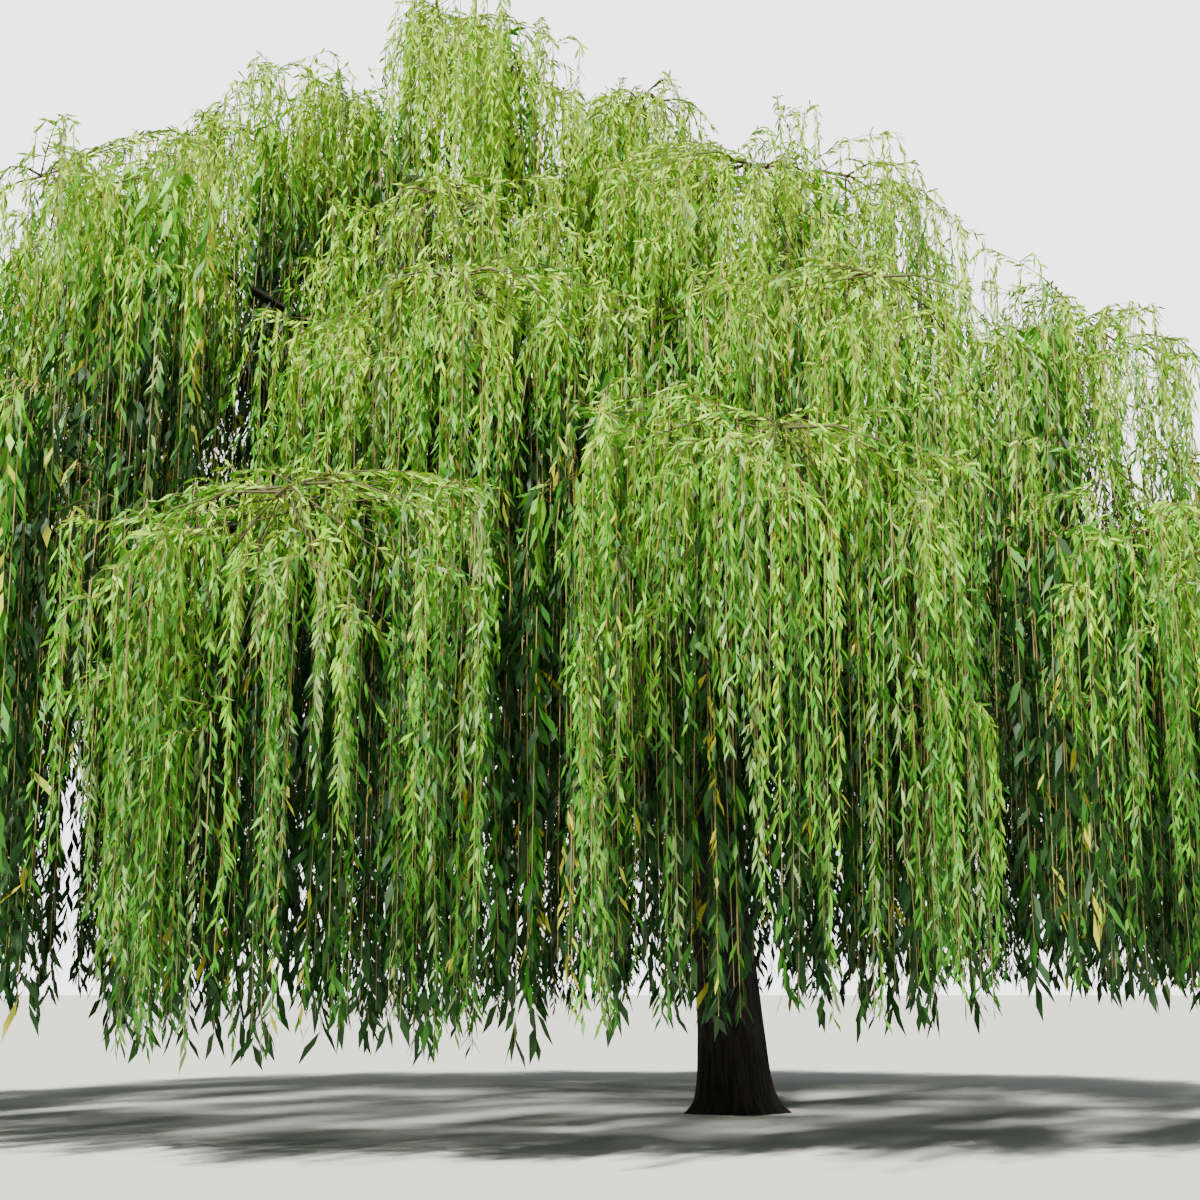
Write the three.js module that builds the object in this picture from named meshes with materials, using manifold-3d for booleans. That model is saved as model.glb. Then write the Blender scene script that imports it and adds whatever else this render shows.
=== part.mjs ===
// A mature weeping willow: a flared trunk that forks low, leaders and boughs that rise and arch outwards,
// and masses of foliage that hang from their tips in long curtains round an open space.
// Millimetres, +Z up. The origin is in the flat cut under the trunk, at ground level.
// The viewer's side is -Y and the viewer's right is +X. A bearing is in degrees, anticlockwise from +X.
import * as THREE from 'three';
import { mergeVertices } from 'three/addons/utils/BufferGeometryUtils.js';
import Module from 'manifold-3d';

const wasm = await Module();
wasm.setup();

// Driving dimensions

const JOINT_GAP = 0.3; // between a piece and the one that carries it
const SEED = 1821;

const TRUNK = {
  forkHeight: 3700,
  domeHeight: 3900,
  footRadius: 480,
  forkRadius: 330,
  domeRadius: 190,
  lean: -260, // how far the fork stands to the left of the foot
  bend: 1.4, // above 1, the trunk leans more towards its fork
  flare: 200, // how far the root flare stands out at the ground
  flareHeight: 190,
  rootLobes: 5,
  lobeShare: 0.3,
  lobeTurn: 0.6,
  ringHeights: [0, 70, 180, 360, 750, 1400, 2200, 3000],
  sides: 18,
};

// The crown's middle stands to the left of the trunk, as the tree reaches further that way.
const CROWN_MIDDLE = -2300;

// The top of the crown is a broad dome with a smaller tuft to the right of it and a shoulder to the left.
const SUMMITS = [
  { x: -3600, y: -500, crest: 15600, foot: 10700, halfWidth: 2100, halfDepth: 2100, tipBack: 150 },
  { x: -1350, y: 200, crest: 14950, foot: 10600, halfWidth: 1250, halfDepth: 1100, tipBack: 150 },
  { x: -5400, y: -300, crest: 14500, foot: 10900, halfWidth: 1700, halfDepth: 1000, tipBack: 150 },
];

// Rings of foliage round the crown's middle. Reach, crest and foot are given for the four sides.
const RINGS = [
  {
    name: 'crown',
    count: 6,
    firstBearing: 8,
    reach: { right: 3900, back: 3600, left: 4700, front: 3300 },
    crest: { right: 13750, back: 12700, left: 13900, front: 11200 },
    foot: { right: 7600, back: 7800, left: 8200, front: 7000 },
    halfDepth: 1750,
  },
  {
    name: 'middle',
    count: 8,
    firstBearing: -11,
    reach: { right: 7100, back: 6000, left: 7700, front: 5500 },
    crest: { right: 10600, back: 10000, left: 12600, front: 9500 },
    foot: { right: 3900, back: 3900, left: 4900, front: 3400 },
    halfDepth: 1400,
  },
  {
    name: 'skirt',
    count: 10,
    firstBearing: 287,
    reach: { right: 9300, back: 7900, left: 9700, front: 7300 },
    crest: { right: 7600, back: 7000, left: 8800, front: 6900 },
    foot: { right: 1100, back: 1300, left: 2100, front: 1120 },
    footTilt: 600, // the foot is this much higher on the right, and lower on the left
    crestStep: 400, // every other mass is this much higher, and those between are lower
    halfDepth: 1300,
  },
];

// Leaders leave the trunk below its fork, in turn at one of three heights.
const LEADER = {
  baseRadius: 185,
  tipRadius: 62,
  sides: 7,
  rings: 6,
  spread: 1.5, // a leader starts out this many times as far outwards as straight to its tip
  below: 420,
  step: 90,
  turns: 3,
};
const CENTRE_LEADER = { baseRadius: 230, below: 350 };

// Boughs leave their leader at a share of its length, and rise at an angle in degrees.
const BOUGH = {
  summit: { baseRadius: 84, tipRadius: 42, leaves: 0.55, step: 0.12, rise: 60 },
  middle: { baseRadius: 92, tipRadius: 42, leaves: 0.42, step: 0.13, rise: 48 },
  skirt: { baseRadius: 112, tipRadius: 42, leaves: 0.12, step: 0.1, rise: 40 },
};
const BOUGH_SIDES = 5;
const BOUGH_RINGS = 5;
const BOUGH_END_RISE = 0.35; // how steeply a bough meets its tip
const LIMB_PULL = 0.36; // how far a limb keeps its way at each end, as a share of its span

// Where a limb's tip stands: this far below the crest of the mass that it carries, and this far back of it
const TIP_BELOW = 700;
const TIP_BACK = 750;

// The stem of a mass, and the twigs that fan out from it
const STEM = { sides: 4, rings: 4, tipRadius: 16, rise: 420, outShare: 0.5, arch: 250, droop: 450 };
const TWIG = {
  count: 7,
  sides: 3,
  rings: 3,
  baseRadius: 32,
  tipRadius: 15,
  arch: 0.22,
  droop: 0.7,
  leaves: 0.62, // where twigs leave the stem, as a share of its length
  spread: 0.3, // outer twigs leave it further along, and inner ones less far, by up to this share
  uneven: 0.4, // how unevenly twigs are spaced round the stem
};
const TWIG_TESTS = [0.35, 0.5, 0.75]; // the places on a twig that are tested against the mass's space
const SPRAY_TESTS = [0.06, 0.15, 0.3, 0.45, 0.6, 0.8, 1]; // the same on a spray

// The sprays that a twig carries, from its foot outwards. Each hangs towards the foot of the mass.
// highest and lowest are how far its widest place is down its length, at the least and the most.
const PERCHES = [
  { along: 0.36, highest: 0.12, lowest: 0.45 },
  { along: 0.68, highest: 0.1, lowest: 0.5 },
  { along: 0.97, highest: 0.06, lowest: 0.25 },
];
const SPRAY = {
  halfWidth: 320,
  uneven: 0.2, // widths differ by up to this share
  thinness: 90, // a spray's length over its thickness
  turn: 30, // a spray faces outwards from its stem, give or take half of this
  share: 0.46, // half its width over its distance from the stem, at the most, so that neighbours keep apart
  shortest: 900,
  sway: 0.02,
  ragged: 0.2, // the tips end unevenly, by up to this share of the length
};
const TRIED = [1, 0.88, 0.76, 0.64, 0.52, 0.4]; // shares of its size at which a twig or a spray is tried
const SPACE_MARGIN = 45; // between the edge of a mass's space and what is in it
const LIMB_MARGIN = 25;
const WOOD_STEP = 100; // between the points at which foliage is tested against a limb

const LEAF_COLOURS = { summit: 0xa9c23f, crown: 0x9dba3a, middle: 0x8cae35, skirt: 0x7ba430 };

// Materials

// Fissured bark, nearly black where it is in shade
function barkMaterial() {
  return new THREE.MeshStandardMaterial({ name: 'bark', color: 0x3d332a, roughness: 0.95, metalness: 0 });
}

// Leaves are yellower high in the crown, where the light falls, and greener in the skirt.
function leafMaterial(ringName) {
  return new THREE.MeshStandardMaterial({
    name: `${ringName}_leaves`,
    color: LEAF_COLOURS[ringName],
    roughness: 0.6,
    metalness: 0,
    side: THREE.DoubleSide,
  });
}

// Small helpers

const UP = new THREE.Vector3(0, 0, 1);
const radians = THREE.MathUtils.degToRad;
const lerp = THREE.MathUtils.lerp;

// A seeded source of numbers from 0 to 1, the same on every run
function seededNumbers(seed) {
  let state = seed >>> 0;
  return () => {
    state = (state + 0x6d2b79f5) >>> 0;
    let t = state;
    t = Math.imul(t ^ (t >>> 15), t | 1);
    t ^= t + Math.imul(t ^ (t >>> 7), t | 61);
    return ((t ^ (t >>> 14)) >>> 0) / 4294967296;
  };
}

// A size that changes smoothly between its values for the four sides
function bySide(sides, bearing) {
  const across = Math.cos(radians(bearing));
  const along = Math.sin(radians(bearing));
  const atSide = across > 0 ? sides.right : sides.left;
  const atFace = along > 0 ? sides.back : sides.front;
  return atSide * across ** 2 + atFace * along ** 2;
}

function bearingVector(bearing, up = 0) {
  return new THREE.Vector3(Math.cos(radians(bearing)), Math.sin(radians(bearing)), up);
}

// Solids

function solidFrom(geometry) {
  const bare = new THREE.BufferGeometry().setAttribute('position', geometry.getAttribute('position'));
  if (geometry.index) bare.setIndex(geometry.index);
  const merged = mergeVertices(bare, 1e-3);
  return new wasm.Manifold(
    new wasm.Mesh({
      numProp: 3,
      vertProperties: new Float32Array(merged.attributes.position.array),
      triVerts: new Uint32Array(merged.index.array),
    }),
  );
}

// The largest body of a solid, without scraps or sealed hollows
function wholeBody(solid) {
  return solid.decompose().reduce((best, body) => (body.volume() > best.volume() ? body : best));
}

// A closed solid through rings of points, each ring with the same count, with flat ends
function loftSolid(rings) {
  const sides = rings[0].length;
  const corners = [];
  const push = (...points) => points.forEach((p) => corners.push(p.x, p.y, p.z));
  for (let r = 1; r < rings.length; r += 1) {
    for (let s = 0; s < sides; s += 1) {
      const next = (s + 1) % sides;
      const [lowA, lowB] = [rings[r - 1][s], rings[r - 1][next]];
      const [highA, highB] = [rings[r][s], rings[r][next]];
      push(lowA, lowB, highB, lowA, highB, highA);
    }
  }
  const [foot, head] = [rings[0], rings[rings.length - 1]];
  for (let s = 1; s < sides - 1; s += 1) {
    push(foot[0], foot[s + 1], foot[s]);
    push(head[0], head[s], head[s + 1]);
  }
  const geometry = new THREE.BufferGeometry();
  geometry.setAttribute('position', new THREE.Float32BufferAttribute(corners, 3));
  return solidFrom(geometry);
}

// A tapering limb along a curve, with one corner of each ring uppermost. grow makes it thicker by that
// much, for cutting its neighbours clear of it.
function limbSolid(limb, grow = 0) {
  const steps = limb.rings - 1;
  const rings = [];
  for (let i = 0; i <= steps; i += 1) {
    const centre = limb.path.getPointAt(i / steps);
    const along = limb.path.getTangentAt(i / steps);
    const aside = new THREE.Vector3().crossVectors(along, UP).normalize();
    const above = new THREE.Vector3().crossVectors(aside, along);
    const radius = lerp(limb.baseRadius, limb.tipRadius, i / steps) + grow;
    rings.push(
      Array.from({ length: limb.sides }, (_, s) => {
        const angle = (2 * Math.PI * s) / limb.sides;
        return centre
          .clone()
          .addScaledVector(above, radius * Math.cos(angle))
          .addScaledVector(aside, radius * Math.sin(angle));
      }),
    );
  }
  return loftSolid(rings);
}

// The middle of a limb's solid at a share of its length: on the straight between two of its rings
function middleAt(limb, share) {
  const steps = limb.rings - 1;
  const ring = Math.min(Math.floor(share * steps), steps - 1);
  const [near, far] = [limb.path.getPointAt(ring / steps), limb.path.getPointAt((ring + 1) / steps)];
  return near.lerp(far, share * steps - ring);
}

// A smooth path that leaves its start and meets its end in the given directions
function archedPath(start, startWay, end, endWay) {
  const reach = start.distanceTo(end) * LIMB_PULL;
  return new THREE.CubicBezierCurve3(
    start,
    start.clone().addScaledVector(startWay.clone().normalize(), reach),
    end.clone().addScaledVector(endWay.clone().normalize(), -reach),
    end,
  );
}

// Trunk

function trunkAxis(z) {
  const share = z / TRUNK.forkHeight;
  return new THREE.Vector3(TRUNK.lean * share ** TRUNK.bend, 0, z);
}

function trunkRadius(z, angle) {
  const taper = lerp(TRUNK.footRadius, TRUNK.forkRadius, Math.min(z / TRUNK.forkHeight, 1));
  const lobes = 1 + TRUNK.lobeShare * Math.cos(TRUNK.rootLobes * angle + TRUNK.lobeTurn);
  return taper + TRUNK.flare * lobes * Math.exp(-z / TRUNK.flareHeight);
}

// The trunk's rings are closer together in the root flare. Its head is a low dome inside the fork.
function trunkSolid(grow = 0) {
  const heights = [...TRUNK.ringHeights, TRUNK.forkHeight];
  const ring = (z, radiusAt) =>
    Array.from({ length: TRUNK.sides }, (_, s) => {
      const angle = (2 * Math.PI * s) / TRUNK.sides;
      const radius = radiusAt(angle) + grow;
      return trunkAxis(z).add(new THREE.Vector3(radius * Math.cos(angle), radius * Math.sin(angle), 0));
    });
  return loftSolid([
    ...heights.map((z) => ring(z, (angle) => trunkRadius(z, angle))),
    ring(TRUNK.domeHeight + grow, () => TRUNK.domeRadius),
  ]);
}

// Masses of foliage: where each stands

function massAt(name, ring, x, y, sizes) {
  const outward = new THREE.Vector3(x - CROWN_MIDDLE, y, 0).normalize();
  return { name, ring, x, y, outward, ...sizes };
}

function ringMasses(ring) {
  return Array.from({ length: ring.count }, (_, i) => {
    const bearing = ring.firstBearing + (i * 360) / ring.count;
    const reach = bySide(ring.reach, bearing);
    const place = bearingVector(bearing).multiplyScalar(reach);
    return massAt(`${ring.name}_mass_${i + 1}`, ring.name, CROWN_MIDDLE + place.x, place.y, {
      crest: bySide(ring.crest, bearing) + (ring.crestStep ?? 0) * (i % 2 ? -1 : 1),
      foot: bySide(ring.foot, bearing) + (ring.footTilt ?? 0) * Math.cos(radians(bearing)),
      halfWidth: reach * Math.sin(Math.PI / ring.count),
      halfDepth: ring.halfDepth,
      tipBack: TIP_BACK,
    });
  });
}

const summits = SUMMITS.map((top, i) => massAt(`summit_mass_${i + 1}`, 'summit', top.x, top.y, top));
const masses = [...summits, ...RINGS.flatMap(ringMasses)];

// How far a point is from a mass's middle line, which runs from its foot up to its crest
function farFrom(mass, point) {
  const beyond = Math.max(0, point.z - mass.crest, mass.foot - point.z);
  return Math.hypot(point.x - mass.x, point.y - mass.y, beyond);
}

// A mass keeps to the space that is nearer to its middle line than to any other's.
function inSpace(mass, point, halfWidth) {
  const own = farFrom(mass, point);
  return masses.every((other) => {
    return other === mass || farFrom(other, point) - own > 2 * (halfWidth + SPACE_MARGIN);
  });
}

// Limbs: the tip of each stands behind and below the crest of its mass

function limbTip(mass) {
  const tip = new THREE.Vector3(mass.x, mass.y, mass.crest - TIP_BELOW);
  return tip.addScaledVector(mass.outward, -mass.tipBack);
}

// A leader leaves the trunk more outwards than its tip lies, and steepens on the way up.
function leaderTo(mass, height, baseRadius) {
  const start = trunkAxis(height);
  const tip = limbTip(mass);
  const way = tip.clone().sub(start);
  const startWay = way.clone().multiply(new THREE.Vector3(LEADER.spread, LEADER.spread, 1));
  return {
    ...LEADER,
    name: mass.name.replace('mass', 'leader'),
    baseRadius,
    mass,
    path: archedPath(start, startWay, tip, way),
  };
}

const crownMasses = masses.filter((m) => m.ring === 'crown');
const leaders = [
  leaderTo(summits[0], TRUNK.forkHeight - CENTRE_LEADER.below, CENTRE_LEADER.baseRadius),
  ...crownMasses.map((mass, i) => {
    const height = TRUNK.forkHeight - LEADER.below - LEADER.step * (i % LEADER.turns);
    return leaderTo(mass, height, LEADER.baseRadius);
  }),
];

// A bough leaves its leader steeply towards its own side, and levels out to its tip.

function boughTo(mass, leader, share) {
  const size = BOUGH[mass.ring];
  const start = middleAt(leader, share);
  const tip = limbTip(mass);
  const bearing = THREE.MathUtils.radToDeg(Math.atan2(tip.y - start.y, tip.x - start.x));
  const startWay = bearingVector(bearing, Math.tan(radians(size.rise)));
  const endWay = mass.outward.clone().setZ(BOUGH_END_RISE);
  return {
    ...size,
    name: mass.name.replace('mass', 'bough'),
    sides: BOUGH_SIDES,
    rings: BOUGH_RINGS,
    mass,
    path: archedPath(start, startWay, tip, endWay),
  };
}

// The leader, other than the centre one, whose own mass stands nearest to the given mass
function leaderNear(mass) {
  const far = (leader) => Math.hypot(leader.mass.x - mass.x, leader.mass.y - mass.y);
  return leaders.slice(1).reduce((best, leader) => (far(leader) < far(best) ? leader : best));
}

// The boughs that share a leader leave it one above another.
function summitBoughs() {
  const { leaves, step } = BOUGH.summit;
  return summits.slice(1).map((mass, i) => boughTo(mass, leaders[0], leaves + i * step));
}

function boughsOf(ringName) {
  const taken = new Map();
  return masses
    .filter((m) => m.ring === ringName)
    .map((mass) => {
      const leader = leaderNear(mass);
      const turn = taken.get(leader) ?? 0;
      taken.set(leader, turn + 1);
      return boughTo(mass, leader, BOUGH[ringName].leaves + turn * BOUGH[ringName].step);
    });
}

const boughs = [...summitBoughs(), ...boughsOf('middle'), ...boughsOf('skirt')];
const limbs = [...leaders, ...boughs];

// Points along every limb, for keeping foliage off the wood
const woodPoints = limbs.flatMap((limb) => {
  const count = Math.ceil(limb.path.getLength() / WOOD_STEP);
  return Array.from({ length: count + 1 }, (_, i) => ({
    at: middleAt(limb, i / count),
    radius: lerp(limb.baseRadius, limb.tipRadius, i / count),
  }));
});

// Whether a straight piece of foliage keeps off the wood. halfWidthAt gives its half width at a share of
// its length.
function clearOfWood(start, end, halfWidthAt) {
  const line = new THREE.Line3(start, end);
  const nearest = new THREE.Vector3();
  return woodPoints.every((wood) => {
    const share = line.closestPointToPointParameter(wood.at, true);
    line.at(share, nearest);
    return nearest.distanceTo(wood.at) > wood.radius + halfWidthAt(share) + LIMB_MARGIN;
  });
}

// Foliage

// The stem carries on from its limb's tip, over the crest and a little way down the far side.
function stemOf(mass, limb) {
  const forward = limb.path.getTangentAt(1);
  const start = limb.path.getPointAt(1).addScaledVector(forward, JOINT_GAP);
  const crest = new THREE.Vector3(mass.x, mass.y, mass.crest + STEM.arch);
  const end = new THREE.Vector3(mass.x, mass.y, mass.crest - STEM.droop);
  end.addScaledVector(mass.outward, mass.halfDepth * STEM.outShare);
  const rise = start.clone().addScaledVector(forward, STEM.rise);
  return {
    ...STEM,
    baseRadius: limb.tipRadius,
    path: new THREE.CubicBezierCurve3(start, rise, crest, end),
  };
}

// Twigs fan out from the stem on all sides, rise a little and droop.
function twigAt(mass, stem, angle, reach) {
  const sideways = new THREE.Vector3(-mass.outward.y, mass.outward.x, 0);
  const way = mass.outward
    .clone()
    .multiplyScalar(mass.halfDepth * Math.cos(angle) * reach)
    .addScaledVector(sideways, mass.halfWidth * Math.sin(angle) * reach);
  const start = middleAt(stem, TWIG.leaves + TWIG.spread * Math.cos(angle));
  const length = way.length();
  const top = start.clone().addScaledVector(way, 0.5);
  top.z += TWIG.arch * length;
  const end = start.clone().add(way);
  end.z -= TWIG.droop * length;
  const path = new THREE.QuadraticBezierCurve3(start, top, end);
  return { ...TWIG, span: length, way: way.normalize(), path };
}

// A twig that would leave the mass's space is tried shorter, and is skipped if the shortest would too.
function twigsOf(mass, stem, random) {
  return Array.from({ length: TWIG.count }, (_, i) => {
    const angle = (2 * Math.PI * (i + 0.5 + TWIG.uneven * (random() - 0.5))) / TWIG.count;
    return TRIED.map((reach) => twigAt(mass, stem, angle, reach)).find((twig) => twigFits(mass, twig));
  }).filter((twig) => twig);
}

function twigFits(mass, twig) {
  if (!inSpace(mass, middleAt(twig, 1), SPRAY.halfWidth)) return false;
  const places = TWIG_TESTS.map((share) => middleAt(twig, share));
  if (!places.every((place) => inSpace(mass, place, twig.baseRadius))) return false;
  const [foot, top] = places;
  const parts = [
    [foot, top],
    [top, middleAt(twig, 1)],
  ];
  return parts.every(([start, end]) => clearOfWood(start, end, () => twig.baseRadius));
}

// A spray is a long keeled blade of six faces that hangs from its root: a sphere of three sides and two
// rows, whose poles go to the root and the tip, and whose middle corners go to the two edges and the keel.
function spraySolid(spray) {
  const { root, tip, across, halfWidth, thick } = spray;
  const middle = root.clone().lerp(tip, spray.shoulder);
  const through = new THREE.Vector3().crossVectors(across, root.clone().sub(tip)).normalize();
  const geometry = new THREE.SphereGeometry(1, 3, 2);
  const corner = new THREE.Vector3();
  const places = geometry.getAttribute('position');
  const edge = across.clone().multiplyScalar(halfWidth);
  const keel = through.multiplyScalar(thick);
  for (let i = 0; i < places.count; i += 1) {
    corner.fromBufferAttribute(places, i).round();
    const place = [tip, middle, root][corner.y + 1].clone();
    if (corner.y === 0) place.addScaledVector(edge, corner.z).addScaledVector(keel, corner.x < 0 ? 1 : 0);
    places.setXYZ(i, place.x, place.y, place.z);
  }
  return solidFrom(geometry);
}

// A spray that would leave the space or touch a limb is tried shorter, and is skipped if the shortest
// would too.
function sprayAt(mass, twig, perch, random) {
  const root = middleAt(twig, perch.along);
  const fullDrop = (root.z - mass.foot) * (1 - SPRAY.ragged * random() ** 2);
  const swing = 2 * Math.PI * random();
  const sway = SPRAY.sway * random();
  const turn = radians(SPRAY.turn * (random() - 0.5));
  const across = new THREE.Vector3().crossVectors(twig.way, UP).applyAxisAngle(UP, turn);
  const room = perch.along * twig.span * SPRAY.share;
  const halfWidth = Math.min(SPRAY.halfWidth * (1 + SPRAY.uneven * (2 * random() - 1)), room);
  const shoulder = lerp(perch.highest, perch.lowest, random());
  const hang = new THREE.Vector3(sway * Math.cos(swing), sway * Math.sin(swing), -1);
  return TRIED.map((share) => {
    const tip = root.clone().addScaledVector(hang, fullDrop * share);
    return { root, tip, across, halfWidth, shoulder, thick: root.distanceTo(tip) / SPRAY.thinness };
  }).find((spray) => sprayFits(mass, spray));
}

function sprayFits(mass, spray) {
  const halfwayOut = (share) => Math.max(spray.halfWidth * share, spray.thick);
  if (spray.root.distanceTo(spray.tip) < SPRAY.shortest) return false;
  const reachAt = (t) => {
    return halfwayOut(t < spray.shoulder ? t / spray.shoulder : (1 - t) / (1 - spray.shoulder));
  };
  const inside = SPRAY_TESTS.every((t) => {
    const centre = spray.root.clone().lerp(spray.tip, t);
    const edges = [-1, 1].map((side) => centre.clone().addScaledVector(spray.across, side * reachAt(t)));
    return edges.every((edge) => inSpace(mass, edge, spray.thick));
  });
  return inside && clearOfWood(spray.root, spray.tip, reachAt);
}

// A mass is one stem with its twigs and their sprays, all fused.
function massSolid(mass, limb, random) {
  const stem = stemOf(mass, limb);
  const twigs = twigsOf(mass, stem, random);
  const sprays = twigs
    .flatMap((twig) => PERCHES.map((perch) => sprayAt(mass, twig, perch, random)))
    .filter((spray) => spray);
  const parts = [limbSolid(stem), ...twigs.map((twig) => limbSolid(twig)), ...sprays.map(spraySolid)];
  return wholeBody(parts.reduce((whole, part) => whole.add(part)));
}

// Assembly

// A named mesh whose own origin is at the place where the piece is carried
function pieceMesh(name, solid, origin, material) {
  const { numProp, vertProperties, triVerts } = solid.getMesh();
  const places = [];
  for (let i = 0; i < vertProperties.length; i += numProp) {
    const [x, y, z] = vertProperties.slice(i, i + 3);
    places.push(x - origin.x, y - origin.y, z - origin.z);
  }
  const geometry = new THREE.BufferGeometry();
  geometry.setAttribute('position', new THREE.Float32BufferAttribute(places, 3));
  geometry.setIndex(new THREE.BufferAttribute(new Uint32Array(triVerts), 1));
  geometry.computeVertexNormals();
  const mesh = new THREE.Mesh(geometry, material);
  mesh.name = name;
  mesh.position.copy(origin);
  return mesh;
}

// Each limb is cut clear of the trunk and of the limbs before it, the one that bears it among them.
function woodGroup() {
  const wood = new THREE.Group();
  wood.name = 'wood';
  const bark = barkMaterial();
  wood.add(pieceMesh('trunk', trunkSolid(), trunkAxis(0), bark));
  const cutters = [trunkSolid(JOINT_GAP)];
  limbs.forEach((limb) => {
    const solid = cutters.reduce((left, cutter) => left.subtract(cutter), limbSolid(limb));
    wood.add(pieceMesh(limb.name, wholeBody(solid), limb.path.getPoint(0), bark));
    cutters.push(limbSolid(limb, JOINT_GAP));
  });
  return wood;
}

// Each limb's mass meets the limb's tip, and has a seed of its own.
function foliageGroup() {
  const foliage = new THREE.Group();
  foliage.name = 'foliage';
  const leaves = Object.fromEntries(Object.keys(LEAF_COLOURS).map((name) => [name, leafMaterial(name)]));
  limbs.forEach((limb, i) => {
    const { mass } = limb;
    const solid = massSolid(mass, limb, seededNumbers(SEED + i));
    foliage.add(pieceMesh(mass.name, solid, limb.path.getPoint(1), leaves[mass.ring]));
  });
  return foliage;
}

const tree = new THREE.Group();
tree.name = 'weeping_willow';
tree.add(woodGroup(), foliageGroup());

export default tree;
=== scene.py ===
# %% [markdown]
# # A weeping willow, dressed
# The solids of this tree are already worked out and packed: a flared trunk, seven leaders, twenty boughs
# and twenty-seven hanging masses of foliage. This lesson puts bark, twigs and leaves on that frame. The
# limbs and masses are worked out here once more from the same few sizes, because a leaf has to know
# which twig it grows on, and a finished solid can't tell that.

# %% Load the frame
import math

import bpy
import numpy as np
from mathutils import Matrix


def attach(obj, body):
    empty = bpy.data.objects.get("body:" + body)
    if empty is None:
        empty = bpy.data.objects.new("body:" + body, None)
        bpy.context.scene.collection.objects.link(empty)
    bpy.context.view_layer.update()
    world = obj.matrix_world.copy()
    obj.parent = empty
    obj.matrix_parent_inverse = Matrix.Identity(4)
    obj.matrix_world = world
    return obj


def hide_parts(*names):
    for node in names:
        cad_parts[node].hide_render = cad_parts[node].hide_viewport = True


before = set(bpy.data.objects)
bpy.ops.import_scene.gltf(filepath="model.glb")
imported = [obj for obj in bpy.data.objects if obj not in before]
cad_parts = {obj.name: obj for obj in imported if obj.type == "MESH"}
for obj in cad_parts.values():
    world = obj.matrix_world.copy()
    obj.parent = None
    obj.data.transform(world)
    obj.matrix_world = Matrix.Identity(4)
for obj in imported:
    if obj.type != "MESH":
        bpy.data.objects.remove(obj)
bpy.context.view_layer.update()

# %% [markdown]
# ## Sizes
# Every size has a name and is in metres. The tree stands with the cut under its trunk at the origin, the
# viewer looks along +Y, and a bearing is in degrees, anticlockwise from +X. The crown is three rings of
# masses round a middle that lies to the left of the trunk, with a dome and a tuft on top.

# %% Trunk and crown
TRUNK = dict(fork_height=3.7, dome_height=3.9, foot_radius=0.48, fork_radius=0.33, lean=-0.26, bend=1.4,
             flare=0.2, flare_height=0.19, root_lobes=5, lobe_share=0.3, lobe_turn=0.6)
CROWN_MIDDLE = -2.3
SUMMITS = [
    dict(x=-3.6, y=-0.5, crest=15.6, foot=10.7, half_width=2.1, half_depth=2.1, tip_back=0.15),
    dict(x=-1.35, y=0.2, crest=14.95, foot=10.6, half_width=1.25, half_depth=1.1, tip_back=0.15),
    dict(x=-5.4, y=-0.3, crest=14.5, foot=10.9, half_width=1.7, half_depth=1.0, tip_back=0.15),
]
RINGS = [
    dict(name="crown", count=6, first=8, half_depth=1.75,
         reach=dict(right=3.9, back=3.6, left=4.7, front=3.3),
         crest=dict(right=13.75, back=12.7, left=13.9, front=11.2),
         foot=dict(right=7.6, back=7.8, left=8.2, front=7.0)),
    dict(name="middle", count=8, first=-11, half_depth=1.4,
         reach=dict(right=7.1, back=6.0, left=7.7, front=5.5),
         crest=dict(right=10.6, back=10.0, left=12.6, front=9.5),
         foot=dict(right=3.9, back=3.9, left=4.9, front=3.4)),
    dict(name="skirt", count=10, first=287, half_depth=1.3,
         reach=dict(right=9.3, back=7.9, left=9.7, front=7.3),
         crest=dict(right=7.6, back=7.0, left=8.8, front=6.9),
         foot=dict(right=1.1, back=1.3, left=2.1, front=1.12), foot_tilt=0.6, crest_step=0.4),
]
print("rings:", [(ring["name"], ring["count"]) for ring in RINGS])

# %% Limbs, twigs and sprays
SEED = 1821
JOINT_GAP = 0.0003
LEADER = dict(base_radius=0.185, tip_radius=0.062, rings=6, spread=1.5, below=0.42, step=0.09, turns=3)
CENTRE_LEADER = dict(base_radius=0.23, below=0.35)
BOUGH = {
    "summit": dict(base_radius=0.084, tip_radius=0.042, leaves=0.55, step=0.12, rise=60),
    "middle": dict(base_radius=0.092, tip_radius=0.042, leaves=0.42, step=0.13, rise=48),
    "skirt": dict(base_radius=0.112, tip_radius=0.042, leaves=0.12, step=0.1, rise=40),
}
BOUGH_RINGS = 5
BOUGH_END_RISE = 0.35
LIMB_PULL = 0.36
TIP_BELOW = 0.7
TIP_BACK = 0.75
STEM = dict(rings=4, tip_radius=0.016, rise=0.42, out_share=0.5, arch=0.25, droop=0.45)
TWIG = dict(count=7, rings=3, base_radius=0.032, tip_radius=0.015, arch=0.22, droop=0.7,
            leaves=0.62, spread=0.3, uneven=0.4)
TRIED = (1, 0.88, 0.76, 0.64, 0.52, 0.4)
SPACE_MARGIN = 0.045
print("sizes read; seed", SEED)

# %% [markdown]
# ## The same chance every time
# Twigs look natural when their angles and lengths vary, but the tree has to be the same on every run. A
# small counter that scrambles its own bits gives numbers from 0 to 1, and each mass has a seed of its own.
# Arrays of thousands of leaves use numpy's generator, which is seeded as well.

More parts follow.
